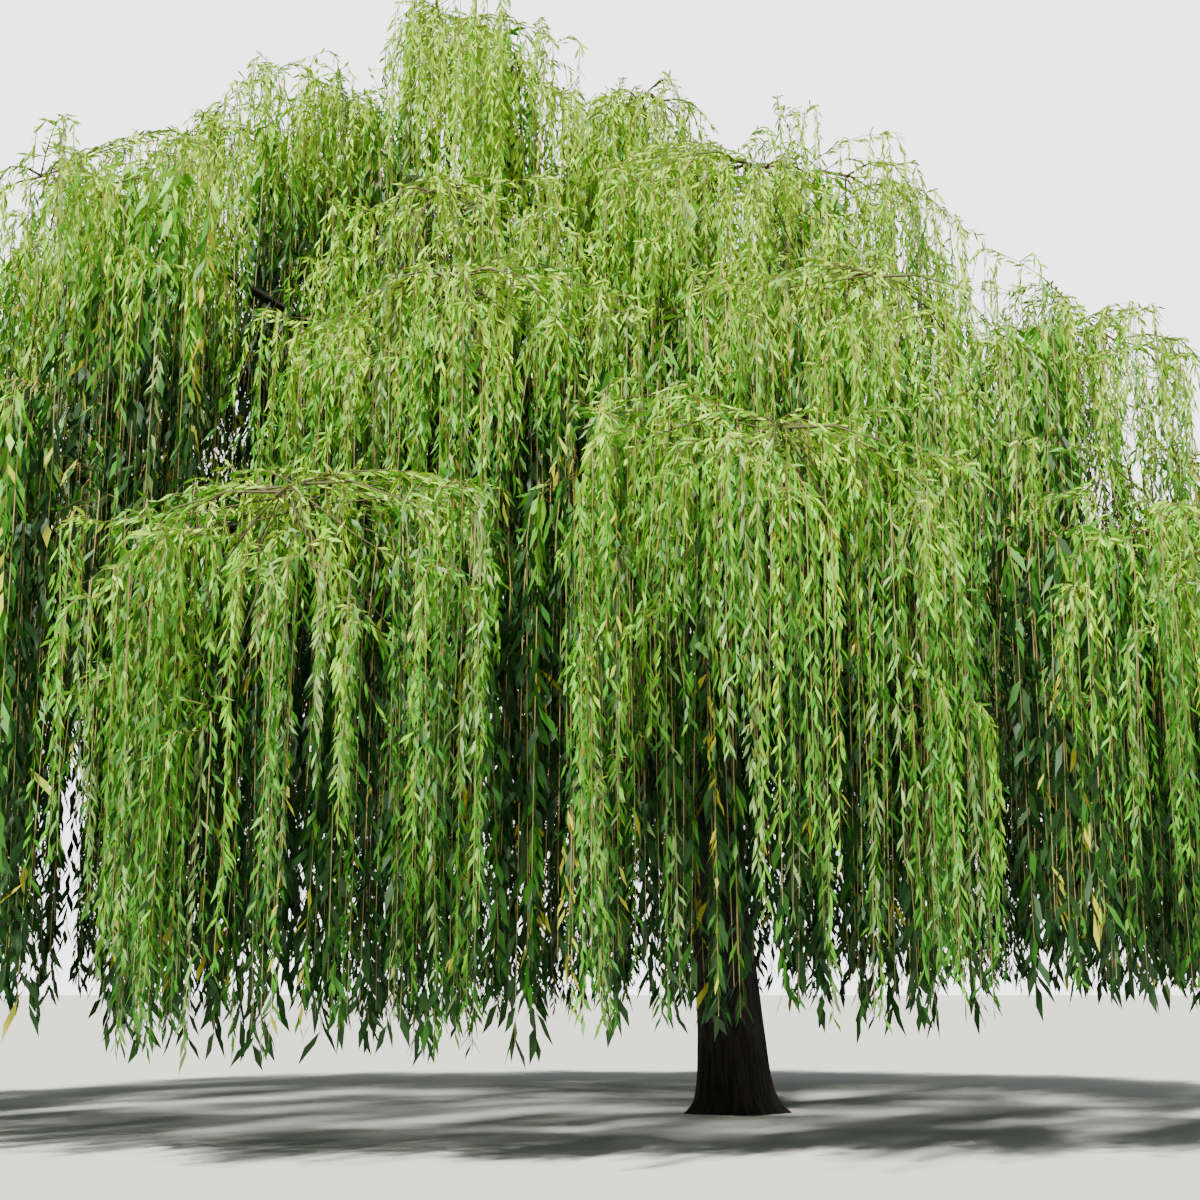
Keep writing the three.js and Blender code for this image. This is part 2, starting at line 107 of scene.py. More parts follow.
# %% Seeded numbers
def seeded_numbers(seed):
    mask = 0xFFFFFFFF
    state = seed & mask

    def number():
        nonlocal state
        state = (state + 0x6D2B79F5) & mask
        t = ((state ^ (state >> 15)) * (state | 1)) & mask
        t ^= (t + (((t ^ (t >> 7)) * (t | 61)) & mask)) & mask
        return ((t ^ (t >> 14)) & mask) / 2**32

    return number


print("first numbers:", [round(n(), 3) for n in [seeded_numbers(SEED)] for _ in range(3)])

# %% Directions and sizes that change round the tree
UP = np.array([0.0, 0.0, 1.0])


def unit(v):
    v = np.asarray(v, float)
    return v / np.maximum(np.linalg.norm(v, axis=-1, keepdims=True), 1e-9)


def bearing_way(bearing, up=0.0):
    a = math.radians(bearing)
    return np.array([math.cos(a), math.sin(a), up])


def by_side(sides, bearing):
    across, along, _ = bearing_way(bearing)
    at_side = sides["right"] if across > 0 else sides["left"]
    at_face = sides["back"] if along > 0 else sides["front"]
    return at_side * across**2 + at_face * along**2


print("skirt reach to the front right:", round(by_side(RINGS[2]["reach"], -45), 2), "m")

# %% [markdown]
# ## Masses of foliage
# A willow's crown is not one ball. Each bough ends in a fountain of twigs, and the fountains stand in
# rings, the skirt outermost and lowest. Each mass has a place, a crest where its twigs arch over, a foot
# down to which they hang, and a direction outwards.

# %% Where each mass stands
def mass_at(name, ring, x, y, sizes):
    outward = unit([x - CROWN_MIDDLE, y, 0.0])
    return {**sizes, "name": name, "ring": ring, "x": x, "y": y, "outward": outward,
            "sideways": np.array([-outward[1], outward[0], 0.0])}


masses = [mass_at(f"summit_mass_{i + 1}", "summit", top["x"], top["y"], top) for i, top in enumerate(SUMMITS)]
for ring in RINGS:
    for i in range(ring["count"]):
        bearing = ring["first"] + i * 360 / ring["count"]
        reach = by_side(ring["reach"], bearing)
        x, y, _ = bearing_way(bearing) * reach
        sizes = dict(crest=by_side(ring["crest"], bearing) + ring.get("crest_step", 0) * (-1) ** i,
                     foot=by_side(ring["foot"], bearing) + ring.get("foot_tilt", 0) * bearing_way(bearing)[0],
                     half_width=reach * math.sin(math.pi / ring["count"]), half_depth=ring["half_depth"],
                     tip_back=TIP_BACK)
        masses.append(mass_at(f"{ring['name']}_mass_{i + 1}", ring["name"], CROWN_MIDDLE + x, y, sizes))
print(len(masses), "masses")

# %% [markdown]
# A mass keeps to the space that is nearer to its own middle line than to any other's. The frame's own
# twigs keep that rule against every mass. The finer twigs and the strands that are added here keep it
# only against the masses of their own ring, so that an outer ring closes in front of the one inside it
# and no wide doors stand open between them.

# %% The space of a mass
LINES = np.array([[m["x"], m["y"], m["crest"], m["foot"]] for m in masses])
SAME_RING = np.array([[a["ring"] == b["ring"] for b in masses] for a in masses])


def room_at(index, points, in_ring=False):
    """How much nearer each point is to its own mass than to the next one, or the next of its ring."""
    points = np.asarray(points, float)
    flat = points[..., None, :2] - LINES[:, :2]
    z = points[..., None, 2]
    beyond = np.maximum(0, np.maximum(z - LINES[:, 2], LINES[:, 3] - z))
    far = np.sqrt((flat**2).sum(-1) + beyond**2)
    own = far[..., index].copy()
    far[..., index] = np.inf
    if in_ring:
        far[..., ~SAME_RING[index]] = np.inf
    return far.min(-1) - own


on_own_line = [masses[0]["x"], masses[0]["y"], masses[0]["crest"]]
print("room on the first mass's own line:", round(float(room_at(0, on_own_line)), 2), "m")

# %% [markdown]
# ## Limbs
# Leaders leave the trunk just under its fork, and boughs leave the leaders. Each is a smooth curve that
# keeps its way for a while at both ends. A Bezier curve does that with four points, and walking along it
# at an even pace needs a table of lengths.

# %% Curves
class Path:
    def __init__(self, *controls):
        self.controls = np.array(controls, float)
        self.shares = np.linspace(0, 1, 201)
        places = self.bezier(self.shares)
        steps = np.linalg.norm(np.diff(places, axis=0), axis=1)
        self.lengths = np.concatenate([[0], np.cumsum(steps)])
        self.length = self.lengths[-1]

    def bezier(self, t):
        t = np.atleast_1d(np.asarray(t, float))[:, None]
        n = len(self.controls) - 1
        return sum(math.comb(n, k) * (1 - t) ** (n - k) * t**k * c for k, c in enumerate(self.controls))

    def at(self, share):
        t = np.interp(np.atleast_1d(share) * self.length, self.lengths, self.shares)
        return self.bezier(t)

    def way(self, share):
        t = np.interp(np.atleast_1d(share) * self.length, self.lengths, self.shares)
        return unit(self.bezier(np.minimum(t + 1e-4, 1)) - self.bezier(np.maximum(t - 1e-4, 0)))


def arched_path(start, start_way, end, end_way):
    pull = np.linalg.norm(end - start) * LIMB_PULL
    return Path(start, start + unit(start_way) * pull, end - unit(end_way) * pull, end)


def middle_at(limb, share):
    """The middle of a limb's solid, which runs straight from ring to ring."""
    stations = np.linspace(0, 1, limb["rings"])
    corners = limb["path"].at(stations)
    share = np.atleast_1d(share)
    return np.stack([np.interp(share, stations, corners[:, k]) for k in range(3)], axis=1)


print("curves ready")

# %% Leaders
def trunk_axis(z):
    return np.array([TRUNK["lean"] * (z / TRUNK["fork_height"]) ** TRUNK["bend"], 0.0, z])


def limb_tip(mass):
    return np.array([mass["x"], mass["y"], mass["crest"] - TIP_BELOW]) - mass["outward"] * mass["tip_back"]


def leader_to(mass, below, base_radius):
    start, tip = trunk_axis(TRUNK["fork_height"] - below), limb_tip(mass)
    way = tip - start
    start_way = way * [LEADER["spread"], LEADER["spread"], 1]
    return dict(name=mass["name"].replace("mass", "leader"), mass=mass, base_radius=base_radius,
                tip_radius=LEADER["tip_radius"], rings=LEADER["rings"],
                path=arched_path(start, start_way, tip, way))


crown_masses = [m for m in masses if m["ring"] == "crown"]
leaders = [leader_to(masses[0], CENTRE_LEADER["below"], CENTRE_LEADER["base_radius"])]
for i, mass in enumerate(crown_masses):
    below = LEADER["below"] + LEADER["step"] * (i % LEADER["turns"])
    leaders.append(leader_to(mass, below, LEADER["base_radius"]))
print(len(leaders), "leaders, the longest", round(max(limb["path"].length for limb in leaders), 1), "m")

# %% Boughs
def bough_to(mass, leader, turn):
    size = BOUGH[mass["ring"]]
    start = middle_at(leader, size["leaves"] + turn * size["step"])[0]
    tip = limb_tip(mass)
    flat = unit((tip - start) * [1, 1, 0])
    start_way = flat + UP * math.tan(math.radians(size["rise"]))
    path = arched_path(start, start_way, tip, mass["outward"] + UP * BOUGH_END_RISE)
    return dict(name=mass["name"].replace("mass", "bough"), mass=mass, base_radius=size["base_radius"],
                tip_radius=size["tip_radius"], rings=BOUGH_RINGS, path=path)


def leader_near(mass):
    def apart(leader):
        return math.hypot(leader["mass"]["x"] - mass["x"], leader["mass"]["y"] - mass["y"])

    return min(leaders[1:], key=apart)


boughs = [bough_to(mass, leaders[0], turn) for turn, mass in enumerate(masses[1:len(SUMMITS)])]
for ring_name in ("middle", "skirt"):
    taken = {}
    for mass in [m for m in masses if m["ring"] == ring_name]:
        leader = leader_near(mass)
        boughs.append(bough_to(mass, leader, taken.get(leader["name"], 0)))
        taken[leader["name"]] = taken.get(leader["name"], 0) + 1
limbs = leaders + boughs
missing = [limb["name"] for limb in limbs if limb["name"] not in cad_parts]
print(len(boughs), "boughs; of all", len(limbs), "limbs, the frame lacks", len(missing))

# %% [markdown]
# ## Maths for materials
# A material is a sheet of nodes. To keep its maths readable, a small class holds one socket and gives
# it the plus, minus and times signs, so that an expression in Python adds the Math nodes. Every other
# node comes from one method of the sheet. Colours are mixed with a Mix node, as a Math node would turn
# them grey.

# %% A socket with arithmetic
class Worth:
    """What comes out of a socket, such as a number that changes over a surface."""

    def __init__(self, sheet, socket):
        self.sheet, self.socket = sheet, socket

    def maths(self, operation, *parts):
        return self.sheet.node("ShaderNodeMath", {"operation": operation}, dict(enumerate(parts)))

    def __add__(self, other):
        return self.maths("ADD", self, other)

    def __sub__(self, other):
        return self.maths("SUBTRACT", self, other)

    def __rsub__(self, other):
        return self.maths("SUBTRACT", other, self)

    def __mul__(self, other):
        return self.maths("MULTIPLY", self, other)

    def __abs__(self):
        return self.maths("ABSOLUTE", self)

    __radd__ = __add__
    __rmul__ = __mul__


print("signs ready: + - * and abs")

# %% A sheet of nodes
class Sheet:
    """A sheet of nodes, and the one way in which nodes are added to it."""

    def __init__(self, tree):
        self.tree = tree

    def node(self, kind, settings=None, values=None, out=0):
        made = self.tree.nodes.new(kind)
        for name, value in (settings or {}).items():
            if name == "stops":
                self.set_stops(made.color_ramp, value)
            else:
                setattr(made, name, value)
        for socket, value in (values or {}).items():
            self.feed(made.inputs[socket], value)
        return Worth(self, made.outputs[out])

    def set_stops(self, ramp, stops):
        while len(ramp.elements) < len(stops):
            ramp.elements.new(1.0)
        for element, (place, colour) in zip(ramp.elements, stops):
            element.position, element.color = place, (*colour, 1)

    def feed(self, socket, value):
        if isinstance(value, Worth):
            self.tree.links.new(value.socket, socket)
        elif hasattr(socket.default_value, "__len__") and len(value) == 3 and len(socket.default_value) == 4:
            socket.default_value = (*value, 1)
        else:
            socket.default_value = value

    def mix(self, share, first, second):
        return self.node("ShaderNodeMix", {"data_type": "RGBA"}, {0: share, 6: first, 7: second}, out=2)


print("a sheet adds nodes, feeds sockets and mixes colours")

# %% A finish, and paint
class Finish(Sheet):
    """A material and its sheet of nodes."""

    def __init__(self, name):
        self.material = bpy.data.materials.new(name)
        self.material.use_nodes = True
        super().__init__(self.material.node_tree)
        self.surface = self.tree.nodes["Principled BSDF"]

    def wear(self, **values):
        for name, value in values.items():
            self.feed(self.surface.inputs[name.replace("_", " ")], value)
        return self.material


def paint(hex_colour):
    """A colour as painters write it, turned into the linear numbers that a shader needs."""
    parts = [int(hex_colour[i:i + 2], 16) / 255 for i in (1, 3, 5)]
    return tuple(p / 12.92 if p < 0.04045 else ((p + 0.055) / 1.055) ** 2.4 for p in parts)


print("mid green in linear numbers:", [round(v, 3) for v in paint("#458a1a")])

# %% [markdown]
# ## Bark
# An old willow has thick, fissured, nearly black bark: long ridges that part and meet again. The fissures
# between them are painted darker still, as painted shade. The largest ridges change the outline of the
# trunk, so they are made in the mesh. The finer cracks are bump. They run where a noise, stretched along
# the limb and bent by a second noise, crosses its middle value, which gives long lines that wander and
# meet. The pattern has to follow each limb, so every corner of the mesh carries a note of where it is round
# and along its limb, and the noise is read there.

# %% The bark's finish
STRETCH, BEND = (1.0, 1.0, 0.1), (0.09, 0.09, 0.09)
CRACK_HALF_WIDTH, CRACK_DEPTH = 0.09, 0.025
GRAIN_HEIGHT, MOSS = 0.4, 0.35
WOOD_STOPS = [(0.25, paint("#100d0a")), (0.6, paint("#201b15")), (0.85, paint("#383028"))]


def bark_finish():
    bark = Finish("willow_bark")
    place = bark.node("ShaderNodeAttribute", {"attribute_name": "round_and_along"}, out=1)
    stretched = bark.node("ShaderNodeVectorMath", {"operation": "MULTIPLY"}, {0: place, 1: STRETCH})

    def noise(where, scale, detail, roughness=0.5, out=0):
        values = {"Vector": where, "Scale": scale, "Detail": detail, "Roughness": roughness}
        return bark.node("ShaderNodeTexNoise", {}, values, out)

    warp = noise(stretched, 6.0, 3.0, out=1)
    bent = bark.node("ShaderNodeVectorMath", {"operation": "MULTIPLY_ADD"}, {0: warp, 1: BEND, 2: stretched})
    fissure = noise(bent, 11.0, 3.0)
    ridge_top = bark.node("ShaderNodeMapRange", {"interpolation_type": "SMOOTHSTEP"},
                          {0: abs(fissure - 0.5), 1: 0.0, 2: CRACK_HALF_WIDTH, 3: 0.0, 4: 1.0})
    grain = noise(stretched, 55.0, 5.0, 0.65)
    stain = noise(place, 1.7, 3.0)
    wood = bark.node("ShaderNodeValToRGB", {"stops": WOOD_STOPS}, {0: grain})
    mossy = bark.mix(stain * MOSS, wood, paint("#232414"))
    # Painted shade: the fissures are painted near black, while the ridge tops keep the wood's own colour and
    # moss.
    colour = bark.mix(ridge_top, paint("#070504"), mossy)
    height = ridge_top + grain * GRAIN_HEIGHT
    bump = bark.node("ShaderNodeBump", {}, {"Strength": 1.0, "Distance": CRACK_DEPTH, "Height": height})
    return bark.wear(Base_Color=colour, Roughness=0.98 - ridge_top * 0.1, Normal=bump)


BARK = bark_finish()
print("bark:", len(BARK.node_tree.nodes), "nodes")

# %% [markdown]
# ## Meshes from arrays
# A tree has too many corners to make one by one. Each piece is worked out as an array of corners and an
# array of faces, and handed to Blender in one go.

# %% Make a piece
def add_to_scene(name, data):
    made = bpy.data.objects.new(name, data)
    bpy.context.scene.collection.objects.link(made)
    return made


def piece(name, corners, faces, finish, smooth=False, notes=None):
    corners, faces = np.asarray(corners, np.float32), np.asarray(faces, np.int32)
    mesh = bpy.data.meshes.new(name)
    mesh.vertices.add(len(corners))
    mesh.vertices.foreach_set("co", corners.ravel())
    mesh.loops.add(faces.size)
    mesh.loops.foreach_set("vertex_index", faces.ravel())
    mesh.polygons.add(len(faces))
    mesh.polygons.foreach_set("loop_start", np.arange(0, faces.size, faces.shape[1], dtype=np.int32))
    mesh.polygons.foreach_set("use_smooth", np.full(len(faces), smooth))
    if notes is not None:
        layer = mesh.attributes.new("round_and_along", "FLOAT_VECTOR", "POINT")
        layer.data.foreach_set("vector", np.asarray(notes, np.float32).ravel())
    mesh.update(calc_edges=True)
    mesh.validate()
    mesh.materials.append(finish)
    made = add_to_scene(name, mesh)
    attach(made, "root")
    return made


def tube_faces(sides, rings):
    """Faces of four corners between rings of corners, for one tube."""
    ring, side = np.meshgrid(np.arange(rings - 1), np.arange(sides), indexing="ij")
    here, there = ring * sides + side, ring * sides + (side + 1) % sides
    return np.stack([here, there, there + sides, here + sides], axis=-1).reshape(-1, 4)


print("a tube of 12 sides and 5 rings has", len(tube_faces(12, 5)), "faces")

# %% [markdown]
# ## Trunk
# The trunk leans a little to the left and flares into root lobes at the ground. Its ridges run nearly
# straight up and wander a little. They are made by adding a few folded waves round the trunk, of which
# each drifts sideways with height: a folded wave has sharp valleys, like the fissures of bark.

# %% Ridges
# Each wave: how many ridges it has round the limb, how far they drift, how fast, and its share.
WAVES = ((9, 0.5, 0.9, 1.0), (14, 0.7, 1.7, 0.8), (23, 0.9, 2.9, 0.6), (37, 1.2, 4.3, 0.35))
SLOW_DRIFT, SLOW_PACE, BLUNT = 0.6, 0.37, 0.6
MEAN_RIDGE = 0.75


def ridges(angle, along, scale=1.0):
    """How far the bark stands out, from 0 in a fissure to 1 on a ridge."""
    total = np.zeros(np.broadcast(angle, along).shape)
    weight = 0.0
    for count, drift, pace, share in WAVES:
        phase = drift * np.sin(pace * along / scale + count)
        phase = phase + SLOW_DRIFT * np.sin(SLOW_PACE * pace * along / scale + 2 * count)
        total = total + share * np.abs(np.cos(count * angle / 2 + phase)) ** BLUNT
        weight += share
    return total / weight


print("ridge height at one place:", round(float(ridges(np.array(1.0), np.array(2.0))), 2))

# %% The trunk's mesh
TRUNK_SIDES, TRUNK_RINGS = 132, 90
RINGS_CROWD = 1.25  # above 1, the rings stand closer near the ground, where the flare is
BARK_DEPTH = 0.075


def trunk_piece():
    share = np.linspace(0, 1, TRUNK_RINGS)
    z = TRUNK["dome_height"] * share**RINGS_CROWD
    angle = np.linspace(0, 2 * math.pi, TRUNK_SIDES, endpoint=False)
    grid_z, grid_a = z[:, None], angle[None, :]
    taper = np.interp(z, [0, TRUNK["fork_height"]], [TRUNK["foot_radius"], TRUNK["fork_radius"]])[:, None]
    lobes = 1 + TRUNK["lobe_share"] * np.cos(TRUNK["root_lobes"] * grid_a + TRUNK["lobe_turn"])
    flare = TRUNK["flare"] * lobes * np.exp(-grid_z / TRUNK["flare_height"])
    radius = taper + flare + BARK_DEPTH * (ridges(grid_a, grid_z) - MEAN_RIDGE)
    axis = np.array([trunk_axis(v) for v in z])
    height = np.broadcast_to(grid_z, radius.shape)
    corners = [axis[:, 0:1] + radius * np.cos(grid_a), axis[:, 1:2] + radius * np.sin(grid_a), height]
    notes = [np.cos(grid_a) * taper, np.sin(grid_a) * taper, height]
    corners, notes = np.stack(corners, axis=-1).reshape(-1, 3), np.stack(notes, axis=-1).reshape(-1, 3)
    made = piece("trunk_bark", corners, tube_faces(TRUNK_SIDES, TRUNK_RINGS), BARK, True, notes)
    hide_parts("trunk")
    return made


trunk = trunk_piece()
print("trunk:", len(trunk.data.polygons), "faces")

# %% [markdown]
# ## Leaders and boughs
# Every limb is a round, tapering tube that follows its own curve, with the same folded waves for its
# bark, shallower as it thins. The tubes are joined into one piece of leaders and one of boughs.

# %% Limb tubes
LIMB_RIDGES, TRUNK_RIDGES, RIDGE_SCALE = 7, 9, 0.6


def corners_round(points, aside, above, radii, sides):
    """A ring of corners round each point, of one line or of many."""
    angle = np.linspace(0, 2 * math.pi, sides, endpoint=False)[:, None]
    spoke = above[..., None, :] * np.cos(angle) + aside[..., None, :] * np.sin(angle)
    return points[..., None, :] + spoke * radii


def tube(points, radii, sides, relief=0.0):
    """Corners and notes of a tube through points, with a frame that turns as little as it can."""
    ways = unit(np.gradient(points, axis=0))
    aside = unit(np.cross(ways, UP))
    angle = np.linspace(0, 2 * math.pi, sides, endpoint=False)
    along = np.concatenate([[0], np.cumsum(np.linalg.norm(np.diff(points, axis=0), axis=1))])[:, None]
    girth = np.asarray(radii, float)[:, None]
    radius = np.repeat(girth, sides, axis=1)
    if relief:
        stands_out = ridges(angle * LIMB_RIDGES / TRUNK_RIDGES, along, RIDGE_SCALE) - MEAN_RIDGE
        radius = radius * (1 + relief * stands_out)
    corners = corners_round(points, aside, np.cross(aside, ways), radius[..., None], sides)
    notes = [girth * np.cos(angle), girth * np.sin(angle), np.broadcast_to(along, radius.shape)]
    return corners.reshape(-1, 3), np.stack(notes, axis=-1).reshape(-1, 3)


def joined_tubes(parts, sides):
    """Parts are (corners, notes) of tubes with the same number of sides."""
    corners, notes, faces, start = [], [], [], 0
    for part_corners, part_notes in parts:
        faces.append(tube_faces(sides, len(part_corners) // sides) + start)
        corners.append(part_corners)
        notes.append(part_notes)
        start += len(part_corners)
    return np.concatenate(corners), np.concatenate(notes), np.concatenate(faces)


print("tubes ready")

# %% Leader and bough pieces
SWELL, SWELL_LENGTH = 0.45, 1.6  # at a limb's foot: its share of the radius, and its length in radii


def limb_piece(name, group, sides, per_metre, relief):
    parts = []
    for limb in group:
        count = max(8, int(limb["path"].length * per_metre))
        share = np.linspace(0, 1, count)
        straight, curved = middle_at(limb, share), limb["path"].at(share)
        swell = 1 + SWELL * np.exp(-share * limb["path"].length / (SWELL_LENGTH * limb["base_radius"]))
        radii = np.interp(share, [0, 1], [limb["base_radius"], limb["tip_radius"]]) * swell
        parts.append(tube(0.5 * (straight + curved), radii, sides, relief))
    corners, notes, faces = joined_tubes(parts, sides)
    made = piece(name, corners, faces, BARK, True, notes)
    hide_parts(*[limb["name"] for limb in group])
    return made


leader_bark = limb_piece("leader_bark", leaders, sides=26, per_metre=5, relief=0.3)
bough_bark = limb_piece("bough_bark", boughs, sides=14, per_metre=4, relief=0.22)
print("leaders:", len(leader_bark.data.polygons), "faces; boughs:", len(bough_bark.data.polygons), "faces")

# %% [markdown]
# ## Stems and twigs
# The stem of a mass carries on from its limb's tip and arches over the crest. Twigs fan out from it, rise
# a little and droop. The first seven of each mass are the frame's own, by the same rule and the same
# numbers. A tree has far more, so finer ones are added: over the dome of the mass, down inside its
# curtain, and along the sides of the limb that carries it.

# %% Stem and twigs of a mass
STRAND_SLACK = 0.16
TESTED = [0.35, 0.5, 0.75, 1.0]


def stem_of(mass, limb):
    forward = limb["path"].way(1)[0]
    start = limb["path"].at(1)[0] + forward * JOINT_GAP
    crest = np.array([mass["x"], mass["y"], mass["crest"] + STEM["arch"]])
    end = crest + mass["outward"] * mass["half_depth"] * STEM["out_share"]
    end[2] = mass["crest"] - STEM["droop"]
    return dict(rings=STEM["rings"], base_radius=limb["tip_radius"], tip_radius=STEM["tip_radius"],
                span=mass["half_depth"], way=mass["outward"],
                path=Path(start, start + forward * STEM["rise"], crest, end))


def twig_at(mass, stem, angle, reach):
    way = (mass["outward"] * mass["half_depth"] * math.cos(angle)
           + mass["sideways"] * mass["half_width"] * math.sin(angle)) * reach
    start = middle_at(stem, TWIG["leaves"] + TWIG["spread"] * math.cos(angle))[0]
    length = np.linalg.norm(way)
    top = start + way * 0.5 + UP * TWIG["arch"] * length
    end = start + way - UP * TWIG["droop"] * length
    return dict(rings=TWIG["rings"], base_radius=TWIG["base_radius"], tip_radius=TWIG["tip_radius"],
                span=length, way=unit(way), path=Path(start, top, end))


def fitting_twig(index, stem, angle):
    """The longest of the tried twigs that keeps to its mass's space, with room for its strands."""
    for reach in TRIED:
        twig = twig_at(masses[index], stem, angle, reach)
        if (room_at(index, middle_at(twig, TESTED)) > 2 * (STRAND_SLACK + SPACE_MARGIN)).all():
            return twig
    return None


print("twigs tried at", len(TRIED), "reaches")

# %% The dome of a mass
def by_ring(*values):
    return dict(zip(("summit", "crown", "middle", "skirt"), values))


MASS_GAP = by_ring(0.02, 0.02, 0.04, 0.1)
FRONT_GAP, FRONT_LINE = 0.8, -6.5  # for the masses that stand nearer to the viewer than this line
DOME_FALL = by_ring(1.7, 1.3, 1.3, 1.2)
SIDE_FALL, INNER_RISE = 0.4, 0.5


def gap_round(mass):
    """The photo shows a dark gap between the two masses at the very front."""
    return FRONT_GAP if mass["y"] < FRONT_LINE else MASS_GAP[mass["ring"]]


def dome_fall(mass, out, aside):
    """How far the dome lies below the crest. It meets its neighbours, and rises towards the ring inside."""
    fall = DOME_FALL[mass["ring"]]
    if mass["ring"] == "summit":
        return fall * (out**2 + aside**2)
    return fall * (max(out, 0) ** 2 + SIDE_FALL * aside**2) - INNER_RISE * max(-out, 0)


def keeps_room(index, twig, shares):
    return bool((room_at(index, middle_at(twig, shares), in_ring=True) > gap_round(masses[index])).all())


print("gap round each skirt mass:", [gap_round(mass) for mass in masses if mass["ring"] == "skirt"])

# %% Fine twigs over the dome
FINE_TWIG = dict(rings=4, base_radius=0.02, tip_radius=0.008)
FINE_TWIGS = by_ring(15, 18, 19, 20)
FROM_LIMB = 0.35  # the share of fine twigs that leave the limb instead of the stem
ON_LIMB, ON_STEM = (0.72, 0.28), (0.15, 0.85)  # from where, and over how much of its length
LEAST_REACH, BELOW_CREST = 0.25, 0.1
FAR_OUT = 0.6  # below 1, more twigs reach the rim of the dome
FINE_ARCH, FINE_ARCH_SHARE = 0.1, 0.16
FINE_TRIED, FINE_TESTED = (1, 0.8, 0.6, 0.4), (0.6, 0.8, 1.0)


def some(amount, random):
    """A chance value from the least up to as much more."""
    least, more = amount
    return least + more * random()


def fine_twig(index, limb, stem, random):
    """A twig from the stem, or from the last part of the limb, to a place on the mass's dome."""
    mass = masses[index]
    bearer, part = (limb, ON_LIMB) if random() < FROM_LIMB else (stem, ON_STEM)
    start = middle_at(bearer, some(part, random))[0]
    angle, reach, lift = 2 * math.pi * random(), LEAST_REACH + random() ** FAR_OUT, random() - 0.5
    for share in FINE_TRIED:
        out, aside = reach * share * math.cos(angle), reach * share * math.sin(angle)
        end = np.array([mass["x"], mass["y"], 0.0])
        end += mass["outward"] * mass["half_depth"] * out + mass["sideways"] * mass["half_width"] * aside
        end[2] = mass["crest"] - BELOW_CREST - dome_fall(mass, out, aside) + lift
        span = np.linalg.norm((end - start)[:2])
        top = 0.5 * (start + end) + UP * (FINE_ARCH + FINE_ARCH_SHARE * span)
        twig = dict(**FINE_TWIG, span=span, way=unit((end - start) * [1, 1, 0]), path=Path(start, top, end))
        if keeps_room(index, twig, FINE_TESTED):
            return twig
    return None


print(sum(FINE_TWIGS[mass["ring"]] for mass in masses), "fine twigs are tried")

# %% Lower twigs inside the curtain
LOWER_TWIG = dict(rings=7, base_radius=0.02, tip_radius=0.007, span=1.0)
LOWER_TWIGS = by_ring(14, 13, 16, 21)
LOWER_TURN = 1.6 * math.pi  # the arc in which they leave, with its middle outwards
LOWER_REACH, LOWER_ON_STEM, LOWER_DOWN = (0.8, 0.35), (0.2, 0.7), (0.06, 0.66)
LOWER_TRIED, LOWER_TESTED = (1, 0.85, 0.7), (0.5, 0.7, 0.85, 1.0)


def lower_twig(index, stem, random):
    """A twig that runs down inside the curtain and turns out and up at its end."""
    mass = masses[index]
    angle, reach = LOWER_TURN * (random() - 0.5), some(LOWER_REACH, random)
    start = middle_at(stem, some(LOWER_ON_STEM, random))[0]
    height = mass["crest"] - (mass["crest"] - mass["foot"]) * some(LOWER_DOWN, random)
    fall = start[2] - height
    for share in LOWER_TRIED:
        flat = reach * share * (mass["outward"] * mass["half_depth"] * math.cos(angle)
                                + mass["sideways"] * mass["half_width"] * math.sin(angle))
        end = np.array([mass["x"], mass["y"], height]) + flat
        way = unit((end - start) * [1, 1, 0])
        leaving = start + flat * 0.3 - UP * fall * 0.25
        inside = end - flat * 0.5 + UP * fall * 0.12
        turned_up = end - way * 0.25 + UP * 0.15
        twig = dict(**LOWER_TWIG, way=way, path=Path(start, leaving, inside, turned_up, end))
        if keeps_room(index, twig, LOWER_TESTED):
            return twig
    return None


print(sum(LOWER_TWIGS[mass["ring"]] for mass in masses), "lower twigs are tried")

# %% Side twigs on the limbs
SIDE_TWIGS_PER_METRE = 1.0
LEADER_BARE, BOUGH_BARE = 0.55, 0.35  # the share of a limb, from its foot, that bears none
SIDE_TURN, SIDE_SPAN = 3.0, (0.9, 1.5)  # the arc in which they leave, in radians, and how long they are


def side_twig(limb, bare, random):
    """A twig from the side of a limb. These close the crown's roof between the masses."""
    share = some((bare, 1 - bare), random)
    start, forward = middle_at(limb, share)[0], unit(limb["path"].way(share)[0] * [1, 1, 0])
    turn, span = SIDE_TURN * (random() - 0.5), some(SIDE_SPAN, random)
    way = forward * math.cos(turn) + np.cross(forward, UP) * math.sin(turn)
    top = start + way * span * 0.5 + UP * (0.3 + 0.1 * span)
    end = start + way * span + UP * (0.35 - 0.12 * span)
    return dict(**FINE_TWIG, span=span, way=way, path=Path(start, top, end))


print("side twigs start", LEADER_BARE, "along a leader and", BOUGH_BARE, "along a bough")

